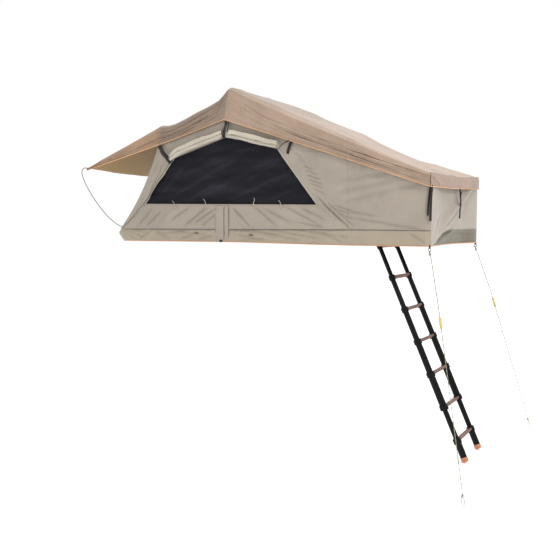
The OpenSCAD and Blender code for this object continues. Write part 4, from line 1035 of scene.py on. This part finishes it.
def rollPiece(name, kind, side):
    line = smoothPath([(u, 0, z) for u, z in rollLine(kind)], 14)
    total = pathLength(line)
    ways = [0.0]
    for p, q in zip(line, line[1:]):
        ways.append(ways[-1] + (q - p).length / total)
    ties = [0.03, 0.98] if kind == "fixed" else [0.0, 0.96]

    def lineAt(a):
        for i in range(len(line) - 1):
            if a <= ways[i + 1] or i == len(line) - 2:
                f = (a - ways[i]) / (ways[i + 1] - ways[i])
                return line[i].lerp(line[i + 1], f), (line[i + 1] - line[i]).normalized()

    def longCreases(a, b):
        return crease(a * 1.2, b * 11.0 + a * 1.5, 8.1, 2.0)

    def slantCreases(a, b):
        return crease(a * 2.2 + b * 0.8, b * 6.0, 3.7, 3.0)

    def pointAt(a, b):
        p, d = lineAt(a)
        n = Vector((-d.z, 0, d.x))
        turn = b * 2 * math.pi - 0.25
        pinch = 1 - 0.2 * sum(bumpAt(a, t, 0.05) for t in ties)
        slack = slantCreases(a, b) * 0.006 + grain(a * 7.0, b * 5.0, 1.3) * 0.005 + longCreases(a, b) * 0.003
        lap = 0.006 * (b if b < 0.94 else (1 - b) / 0.06)
        r = (rollSet["radius"] - 0.008 + slack + lap) * pinch * (ease(min(a, 1 - a) / 0.008) * 0.1 + 0.9)
        return place(p.x, side * (rollSet["y"] + r * math.cos(turn)), p.z) + n * r * math.sin(turn)

    def shadeAt(a, b, p):
        # painted shade in the crease gaps and under the outer lap's edge; painted light lifts the fixed-side roll
        creaseShade = max(0.0, 0.35 - longCreases(a, b) - slantCreases(a, b))
        return creaseShade * 0.5 + 0.7 * ease((b - 0.93) / 0.05) - (0.2 if kind == "fixed" else 0.0)
    roll = clothGrid(name, (130, 44), (total, 0.23), pointAt, [rollCanvasLit], rollSet["thick"], flip=side > 0,
                     shadeAt=shadeAt)
    if kind == "fixed":
        return roll, line[0], (line[1] - line[0]).normalized()
    return roll, line[-1], (line[-2] - line[-1]).normalized()


def rollEnd(name, at, direction, side):
    # the coiled end of a roll: one flat strip wound into a spiral
    n = Vector((-direction.z, 0, direction.x))

    def pointAt(a, b):
        turn = a * 2 * math.pi * 3.5
        r = 0.004 + 0.023 * a
        spot = place(at.x, side * (rollSet["y"] + r * math.cos(turn)), at.z) + n * r * math.sin(turn)
        return spot + direction * (b * 0.03 - 0.004)
    return clothGrid(name, (84, 2), (0.35, 0.03), pointAt, [rollCanvasLit])


def strapStrip(name, path, width, across):
    line = smoothPath(path, 5)

    def pointAt(a, b):
        k = a * (len(line) - 1)
        i = min(int(k), len(line) - 2)
        return line[i].lerp(line[i + 1], k - i) + across * (b - 0.5) * width
    long = pathLength(line)
    strip = clothGrid(name, (len(line) * 2, 3), (long, width), pointAt, [webbing], rollSet["thick"], inset=0.0)
    return strip, (long, width)


# each strap: points (u, out, z) from the fly down over the roll, its width and the way its width lies
rollStraps = {
    "fixed": [
        ([(-0.745, 0.727, 0.798), (-0.7, 0.744, 0.752), (-0.655, 0.774, 0.708), (-0.612, 0.778, 0.668),
          (-0.594, 0.752, 0.632), (-0.604, 0.714, 0.612)],
         0.044, (0.81, 0, 0.58)),
        ([(0.018, 0.72, 0.968), (0.026, 0.736, 0.925), (0.034, 0.772, 0.885), (0.034, 0.781, 0.852),
          (0.022, 0.768, 0.818), (-0.004, 0.716, 0.806)],
         0.03, (1, 0, 0.05)),
        ([(0.05, 0.722, 0.958), (0.058, 0.742, 0.915), (0.066, 0.772, 0.876), (0.064, 0.778, 0.85)],
         0.01, (1, 0, 0))],
    "fold": [
        ([(0.69, 0.722, 0.752), (0.676, 0.73, 0.722), (0.66, 0.726, 0.685), (0.64, 0.714, 0.642)],
         0.026, (0.91, 0, -0.41)),
        ([(0.586, 0.77, 0.684), (0.604, 0.764, 0.708), (0.63, 0.748, 0.734), (0.664, 0.734, 0.75),
          (0.7, 0.724, 0.748)],
         0.012, (0.3, 0, 0.95))],
}
for side, word in bothSides:
    for kind, body in bothHalves:
        tag = kind.capitalize() + word
        roll, end, direction = rollPiece("windowRoll" + tag, kind, side)
        coil = rollEnd("rollCoil" + tag, end, direction, side)
        cloth(roll, (0.75, 0.25), body, standsFor("window_rolls_" + kind, side),
              [coil])
        for i, (points, width, across) in enumerate(rollStraps[kind]):
            path = [place(u, side * out, z) for u, out, z in points]
            strap, size = strapStrip("rollStrap%s%d" % (tag, i), path, width, Vector(across).normalized())
            node = standsFor("roll_straps_" + kind, side) if i == 0 else None
            cloth(strap, size, body, node)
print("rolls tied up")


# left end wall under the awning, with its window

endWallSet = {
    "netZ": (0.25, 0.64), "netHalf": (0.41, 0.35), "netOff": 0.0105, "netThick": 0.0008, "rim": 0.005,
    "folds": [
        (-0.64, 0.03, -0.42, 0.27, 0.016, 0.007), (-0.56, 0.02, -0.3, 0.2, 0.014, 0.007),
        (0.64, 0.03, 0.42, 0.27, 0.016, 0.007), (0.56, 0.02, 0.32, 0.18, 0.014, 0.007),
        (-0.2, 0.03, 0.02, 0.19, 0.018, 0.006), (0.12, 0.19, 0.3, 0.03, 0.016, 0.006),
        (-0.62, 0.74, -0.4, 0.6, 0.014, 0.006), (0.62, 0.74, 0.4, 0.6, 0.014, 0.006),
        (-0.58, 0.32, -0.48, 0.56, 0.014, 0.006), (0.58, 0.32, 0.48, 0.56, 0.014, 0.006),
        (-0.25, 0.78, 0.25, 0.71, 0.016, 0.006)],
}


def endWallAt(a, b):
    y = mix(-halfWidth, halfWidth, a)
    u, z = leftEdge(b)
    window = ease((0.46 - abs(y)) / 0.05) * ease((z - 0.2) / 0.04) * ease((0.69 - z) / 0.04)
    folds = 0.003 * max(0, grain(y * 2.5, z * 3.0, 3.0)) + 0.003 * crease(y * 2.0 + z, z * 4.0, 6.0, 4.0)
    folds += foldLines(y, z, endWallSet["folds"]) * (1 - window)
    return place(u - 0.001 - folds * ease(min(a, 1 - a) / 0.04), y, z)


endWall = clothGrid("endWallLeft", (160, 110), (1.4, 0.95), endWallAt, [wallCanvas], wallSet["thick"], flip=True)
cloth(endWall, (1.4, 0.96), "base", "end_wall_left")


def endNetAt(a, b):
    half = mix(*endWallSet["netHalf"], b)
    u, z = leftEdge(mix(*endWallSet["netZ"], b) / eaveZ(leftHoop))
    return place(u - endWallSet["netOff"], mix(-half, half, a), z)


endNet = clothGrid("endWindowNet", (60, 30), (0.82, 0.42), endNetAt, [windowNet], endWallSet["netThick"], flip=True)
rimWay = [(i / 20, 0) for i in range(20)] + [(1, i / 10) for i in range(10)]
rimWay += [(1 - i / 20, 1) for i in range(20)] + [(0, 1 - i / 10) for i in range(10)]
rimLine = [endNetAt(a, b) + Vector((-0.001, 0, 0)) for a, b in rimWay]
endRim = tubeAlong("endWindowRim", rimLine, endWallSet["rim"], [hemCanvas], closed=True)
cloth(endNet, (0.83, 0.45), "base", "window_mesh_end", [endRim])
print("end wall hung")


# inner roof over the hoops

roofSet = {"knots": [0.0, 0.26, 0.30, 0.34, 0.42, 0.5], "in": 0.022, "below": 0.030, "thick": 0.0012}


def roofAt(u, s):
    points = [(halfWidth + 0.0014, eaveZ(u) + 0.001)]
    points += [(y - roofSet["in"], z - roofSet["below"]) for y, z in flySection(u)[2:]]
    t, y, z = onSection(points, roofSet["knots"], s)
    return place(u, y, z + endTwist(u, y) * ease(t / 0.2))


roofPanels = [
    ("roofFixed", leftHoop, 0.0, "base", "roof_fixed"),
    ("roofFold", 0.0, floorLength, "fold_out", "roof_fold"),
    ("roofVestibule", floorLength, 1.91, "vestibule", "vestibule_roof"),
]
for name, u0, u1, body, node in roofPanels:
    roof = clothGrid(name, (40, 70), (u1 - u0, 1.9), lambda a, b, u0=u0, u1=u1: roofAt(mix(u0, u1, a), b),
                     [wallCanvas], roofSet["thick"])
    cloth(roof, (u1 - u0 + 0.1, 2.1), body, node)
print("inner roof hung")


# skirts round the floor, with a swell and gathers at the left end

skirtSet = {
    "drop": 0.12, "corner": 0.045, "top": -0.001, "off": 0.0012, "piping": 0.004, "slot": (0.048, 0.008),
    "profile": [(0.0, 0.036), (0.15, 0.055), (0.32, 0.063), (0.5, 0.058), (0.75, 0.038), (1.0, 0.006)],
    "folds": [
        (-1.19, -0.002, -0.93, -0.035, 0.009, -0.007), (-1.19, -0.006, -0.98, -0.075, 0.009, -0.008),
        (-1.19, -0.012, -1.05, -0.105, 0.009, -0.008), (-1.2, -0.02, -1.13, -0.115, 0.009, -0.007),
        (-0.62, -0.02, -0.2, -0.06, 0.02, -0.005), (-0.9, -0.09, -0.4, -0.06, 0.02, 0.004),
        (0.1, -0.02, 0.6, -0.05, 0.018, -0.006), (0.4, -0.09, 1.1, -0.05, 0.02, 0.005),
        (0.8, -0.02, 1.25, -0.075, 0.014, -0.007), (-1.0, -0.1, -0.86, -0.03, 0.014, -0.008),
        (-0.8, -0.03, -0.62, -0.1, 0.016, -0.007), (-0.5, -0.1, -0.33, -0.04, 0.014, -0.008),
        (-0.3, -0.1, -0.14, -0.07, 0.012, -0.008), (-0.72, -0.045, -0.45, -0.025, 0.012, -0.007),
        (0.08, -0.05, 0.42, -0.105, 0.014, -0.008), (0.35, -0.03, 0.75, -0.1, 0.016, -0.008),
        (0.55, -0.025, 0.95, -0.085, 0.014, -0.009), (0.15, -0.105, 0.4, -0.09, 0.012, -0.007),
        (0.95, -0.03, 1.15, -0.11, 0.014, -0.008)],
}


def skirtWave(u, z):
    b = -z / skirtSet["drop"]
    wave = (0.5 + 0.5 * grain(u * 6.0, b * 0.8, 2.7)) * 0.014 * b + crease(u * 5.0, b * 0.7, 8.3, 3.0) * 0.009 * b
    wave += crease(u * 9.0 + b * 2.0, b * 1.6, 5.1, 3.0) * 0.004
    return max(0.0, wave + 0.002 * b + foldLines(u, z, skirtSet["folds"]) + 0.006 * ease(b * 4))


def fixedSkirtAt(a, b):
    # path: near side from the hinge to the corner, round the left end, and back along the far side
    radius = skirtSet["corner"]
    sideRun, endRun, cornerRun = floorLength - radius, 2 * (halfWidth - radius), radius * math.pi / 2
    total = 2 * sideRun + endRun + 2 * cornerRun
    way = a * total
    mirror = -1 if way > total / 2 else 1
    way = min(way, total - way)
    past = way - sideRun
    if past < 0:
        u, y, out = -way, -halfWidth, (0.0, -1.0)
        grow = ease((past + 0.16) / 0.16) * 0.25
    elif past < cornerRun:
        turn = past / cornerRun * math.pi / 2
        u = -floorLength + radius * (1 - math.sin(turn))
        y = -halfWidth + radius * (1 - math.cos(turn))
        out = (-math.sin(turn), -math.cos(turn))
        grow = 0.25 + 0.75 * ease(past / cornerRun)
    else:
        u, y, out = -floorLength, -halfWidth + radius + (past - cornerRun), (-1.0, 0.0)
        grow = 1.0
    z = mix(skirtSet["top"], -skirtSet["drop"], b)
    gather = ease((past + 0.14) / 0.14) * crease(way * 22.0, b * 1.2, 4.0, 2.0) * 0.010 * math.sin(math.pi * b)
    off = skirtSet["off"] + skirtWave(u, z) * (1 - 0.6 * grow) + along(b, skirtSet["profile"]) * grow + gather
    return place(u + out[0] * off, (y + out[1] * off) * mirror, z)


def skirtSlot(name, u0, z0, side):
    # a dark slot in the skirt for a strap
    long, high = skirtSet["slot"]

    def pointAt(a, b):
        u = mix(u0 - long / 2, u0 + long / 2, a)
        return place(u, side * (halfWidth + 0.0042 + skirtWave(u, z0)), mix(z0 + high / 2, z0 - high / 2, b))
    return clothGrid(name, (8, 2), (0.05, 0.008), pointAt, [webbing], 0.001, flip=side > 0)


skirtShade = shadeFrom(skirtSet["folds"], 0.7)
fixedSkirt = clothGrid("skirtFixed", (520, 22), (3.75, 0.14), fixedSkirtAt, [skirtCanvas], flip=True,
                       shadeAt=skirtShade)
extra = [tubeAlong("skirtFixedPiping", edgeLine(fixedSkirtAt, 420, 1.0), skirtSet["piping"], [skirtPiping])]
extra += [skirtSlot("skirtSlotFixed" + word, -0.321, -0.043, side) for side, word in bothSides]
cloth(fixedSkirt, (3.8, 0.16), "base", "skirt_fixed", extra)

for side, word in bothSides:
    def foldSkirtAt(a, b, side=side):
        u = mix(0.0, floorLength, a)
        z = mix(skirtSet["top"], hemZ(u), b)
        return place(u, side * (halfWidth + skirtSet["off"] + skirtWave(u, z)), z)
    skirt = clothGrid("skirtFold" + word, (180, 22), (1.2, 0.12), foldSkirtAt, [skirtCanvas], flip=side < 0,
                      shadeAt=skirtShade)
    hem = tubeAlong("skirtFoldPiping" + word, edgeLine(foldSkirtAt, 150, 1.0), skirtSet["piping"], [skirtPiping])
    slot = skirtSlot("skirtSlotFold" + word, 0.275, -0.058, side)
    cloth(skirt, (1.21, 0.14), "fold_out", standsFor("skirt_fold", side),
          [hem, slot])
print("skirts hung")


# vestibule walls, canvas above and skirt cloth below; on the end, a dark band of painted shade below

def faceBand(obj, isLow):
    obj.modifiers["thickness"].material_offset = 0
    for face in obj.data.polygons:
        face.material_index = 1 if isLow(face.center.y, face.center.z - floorZ) else 0


for side, word in bothSides:
    def vestibuleSideAt(a, b, side=side):
        u = mix(floorLength, tentEnd, a)
        z = mix(hemZ(u), eaveZ(u), b)
        low = (1 - ease((z + 0.016) / 0.012)) * ease((1.5 - u) / 0.3)
        return place(u, side * (wallSet["y"] + mix(sideOut(u, z), skirtWave(u, z) - 0.0004, low)), z)
    panel = clothGrid("vestibuleSide" + word, (100, 100), (0.716, 0.7), vestibuleSideAt, [wallCanvas, skirtCanvas],
                      wallSet["thick"], flip=side > 0, shadeAt=shadeFrom(wallSet["folds"]))
    faceBand(panel, lambda y, z: z < -0.014)
    hem = tubeAlong("vestibulePiping" + word, edgeLine(vestibuleSideAt, 90, 0.0), skirtSet["piping"], [skirtPiping])
    seam = wallSeam("vestibuleSeam" + word, [(floorLength, -0.008), (1.91, -0.014)], side)
    cloth(panel, (0.73, 0.8), "vestibule", standsFor("vestibule_walls", side),
          [hem, seam])

# the vestibule's end; folds from (y, z) to (y, z), width, height
endSet = {
    "u": 1.9155, "low": -0.134, "off": 0.034, "gain": 1.4, "seamZ": -0.014, "seam": 0.0026,
    "folds": [
        (-0.66, -0.13, 0.5, 0.345, 0.05, 0.026), (-0.6, -0.12, -0.06, -0.02, 0.022, -0.018),
        (-0.35, -0.03, 0.56, 0.335, 0.02, -0.018), (-0.2, 0.1, 0.6, 0.38, 0.016, 0.012),
        (-0.36, -0.08, 0.03, -0.021, 0.012, 0.006), (-0.68, -0.1, -0.4, 0.1, 0.02, -0.008),
        (-0.69, -0.06, -0.55, 0.2, 0.02, -0.006), (0.1, -0.03, 0.65, -0.06, 0.012, -0.006),
        (0.2, -0.1, 0.66, -0.09, 0.012, 0.006), (0.35, 0.2, 0.66, 0.36, 0.03, -0.006)],
}


def endVestibuleAt(a, b):
    y = mix(-halfWidth, halfWidth, a)
    z = mix(endSet["low"], eaveZ(tentEnd) + endTwist(tentEnd, y), b)
    tuck = 0.03 * (1 - ease((z + 0.13) / 0.12)) * ease((y + 0.45) / 0.4) * ease((0.7 - y) / 0.1)
    off = endSet["off"] - endSet["gain"] * foldLines(y, z, endSet["folds"])
    off += 0.004 * max(0, grain(y * 3, z * 4, 2.0)) + tuck
    return place(endSet["u"] - off * ease(min(a, 1 - a) / 0.3), y, z)


# painted shade over the whole end, deeper in its fold grooves
endVestibule = clothGrid("vestibuleEnd", (170, 84), (1.4, 0.5), endVestibuleAt, [wallCanvas, bandShadeCanvas],
                         wallSet["thick"],
                         shadeAt=lambda a, b, p: 0.1 + 0.8 * grooveShade(p.y, p.z - floorZ, endSet["folds"]))
# the band below the floor line takes the painted-shade canvas
faceBand(endVestibule, lambda y, z: z < -0.016 and z < 0.02 - 0.12 * (0.1 - y) / 0.6)
endHem = tubeAlong("vestibuleEndPiping", edgeLine(endVestibuleAt, 80, 0.0), skirtSet["piping"], [skirtPiping])
seamShare = (endSet["seamZ"] - endSet["low"]) / (eaveZ(tentEnd) - endSet["low"])
endSeamLine = edgeLine(lambda a, b: endVestibuleAt(mix(0.45, 0.995, a), b), 60, seamShare, (0.0012, 0, 0))
endSeam = tubeAlong("vestibuleEndSeam", endSeamLine, endSet["seam"], [seamThread], 2)
cloth(endVestibule, (1.41, 0.56), "vestibule", "vestibule_end_wall",
      [endHem, endSeam])
print("vestibule hung")


# webbing that hangs from the valance, points (u, y, z) and width: two at the near corner, one further on and its loop

endStraps = [
    ([(1.918, -0.708, 0.345), (1.92, -0.72, 0.29), (1.918, -0.724, 0.2), (1.916, -0.722, 0.13),
      (1.916, -0.722, 0.062)],
     0.02),
    ([(1.912, -0.714, 0.335), (1.905, -0.722, 0.28), (1.898, -0.724, 0.19), (1.894, -0.724, 0.105)],
     0.016),
    ([(1.921, 0.085, 0.352), (1.927, 0.083, 0.29), (1.93, 0.085, 0.22), (1.926, 0.08, 0.15),
      (1.925, 0.078, 0.088)],
     0.013),
    ([(1.924, 0.08, 0.29), (1.934, 0.06, 0.262), (1.938, 0.05, 0.232), (1.932, 0.066, 0.2), (1.927, 0.08, 0.185)],
     0.01)]
buckleSet = {"size": (0.012, 0.026, 0.026), "shift": (0.006, 0, 0.018), "bevel": 0.003, "straps": (0, 2)}


def buckle(name, at):
    bm = bmesh.new()
    spot = Matrix.Translation(place(*(a + s for a, s in zip(at, buckleSet["shift"]))))
    bmesh.ops.create_cube(bm, size=1.0, matrix=spot @ Matrix.Diagonal((*buckleSet["size"], 1)))
    bmesh.ops.bevel(bm, geom=bm.edges, offset=buckleSet["bevel"], segments=2, profile=0.5, affect="EDGES", material=-1)
    return keep(name, bm, [socketBlack], False)


endAcross = Vector((0.75, 0.66, 0)).normalized()
for i, (points, width) in enumerate(endStraps):
    strap, size = strapStrip("endStrap%d" % i, [place(*p) for p in points], width, endAcross)
    extra = [buckle("endBuckle%d" % i, points[1])] if i in buckleSet["straps"] else []
    cloth(strap, size, "vestibule", "end_straps" if i == 0 else None, extra)
print("end straps hung")


# awning rods: points (u, y, z) from the floor's left corner, out and up to the awning

rodSet = {
    "keep": 0.03, "radius": 0.0035,
    "points": [
        (0.046, -0.018, 0.012), (-0.01, -0.011, 0.012), (-0.05, -0.003, 0.022), (-0.105, 0.016, 0.058),
        (-0.171, 0.04, 0.117), (-0.246, 0.07, 0.213), (-0.305, 0.092, 0.3), (-0.349, 0.11, 0.38),
        (-0.388, 0.128, 0.465), (-0.408, 0.137, 0.545), (-0.402, 0.134, 0.58), (-0.378, 0.127, 0.594),
        (-0.346, 0.117, 0.59)],
}
for side, word in bothSides:
    line = smoothPath([place(u - floorLength, side * (halfWidth + y), z) for u, y, z in rodSet["points"]], 8)
    rod = tubeAlong("awningRod" + word, line, rodSet["radius"], [rodSteel], 4)
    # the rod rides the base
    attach(rod, "base")
    tuple(line[0])
    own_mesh(rod)
    if side < 0:
        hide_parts("awning_rods")
print("awning rods set")


# mattress halves

mattressSet = {"thick": 0.06, "half": 0.59, "from": 0.03, "to": 1.16, "lift": 0.0008}
for name, way, body, node in (("mattressFixed", -1, "base", "mattress_fixed"),
                              ("mattressFold", 1, "fold_out", "mattress_fold")):
    middle = way * (mattressSet["from"] + mattressSet["to"]) / 2
    bm = bmesh.new()
    bmesh.ops.create_cube(bm, size=1.0)
    bmesh.ops.subdivide_edges(bm, edges=bm.edges, cuts=24, use_grid_fill=True)
    for v in bm.verts:
        x, y, z = v.co.x * 2, v.co.y * 2, v.co.z + 0.5
        edge = max(abs(x), abs(y))
        crown = 1 - 0.28 * ease((edge - 0.8) / 0.2) if z > 0.5 else 1
        tuck = 0.012 * (2 * z - 1) ** 2 * ease((edge - 0.9) / 0.1)
        halfU = (mattressSet["to"] - mattressSet["from"]) / 2 - tuck
        v.co = place(middle + x * halfU, y * (mattressSet["half"] - tuck),
                     mattressSet["lift"] + z * mattressSet["thick"] * crown)
    pad = keep(name, bm, [mattressCloth])
    soft = pad.modifiers.new("soft", "SUBSURF")
    soft.levels = 1
    soft.render_levels = 1
    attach(pad, body)
    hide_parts(node)
print("mattress laid")


# studio floor

bm = bmesh.new()
bmesh.ops.create_grid(bm, x_segments=4, y_segments=4, size=60)
bmesh.ops.translate(bm, verts=bm.verts, vec=(0, 0, cadBox[0][2] - 0.002))
studioFloor = keep("studioFloor", bm, [floorPaint])
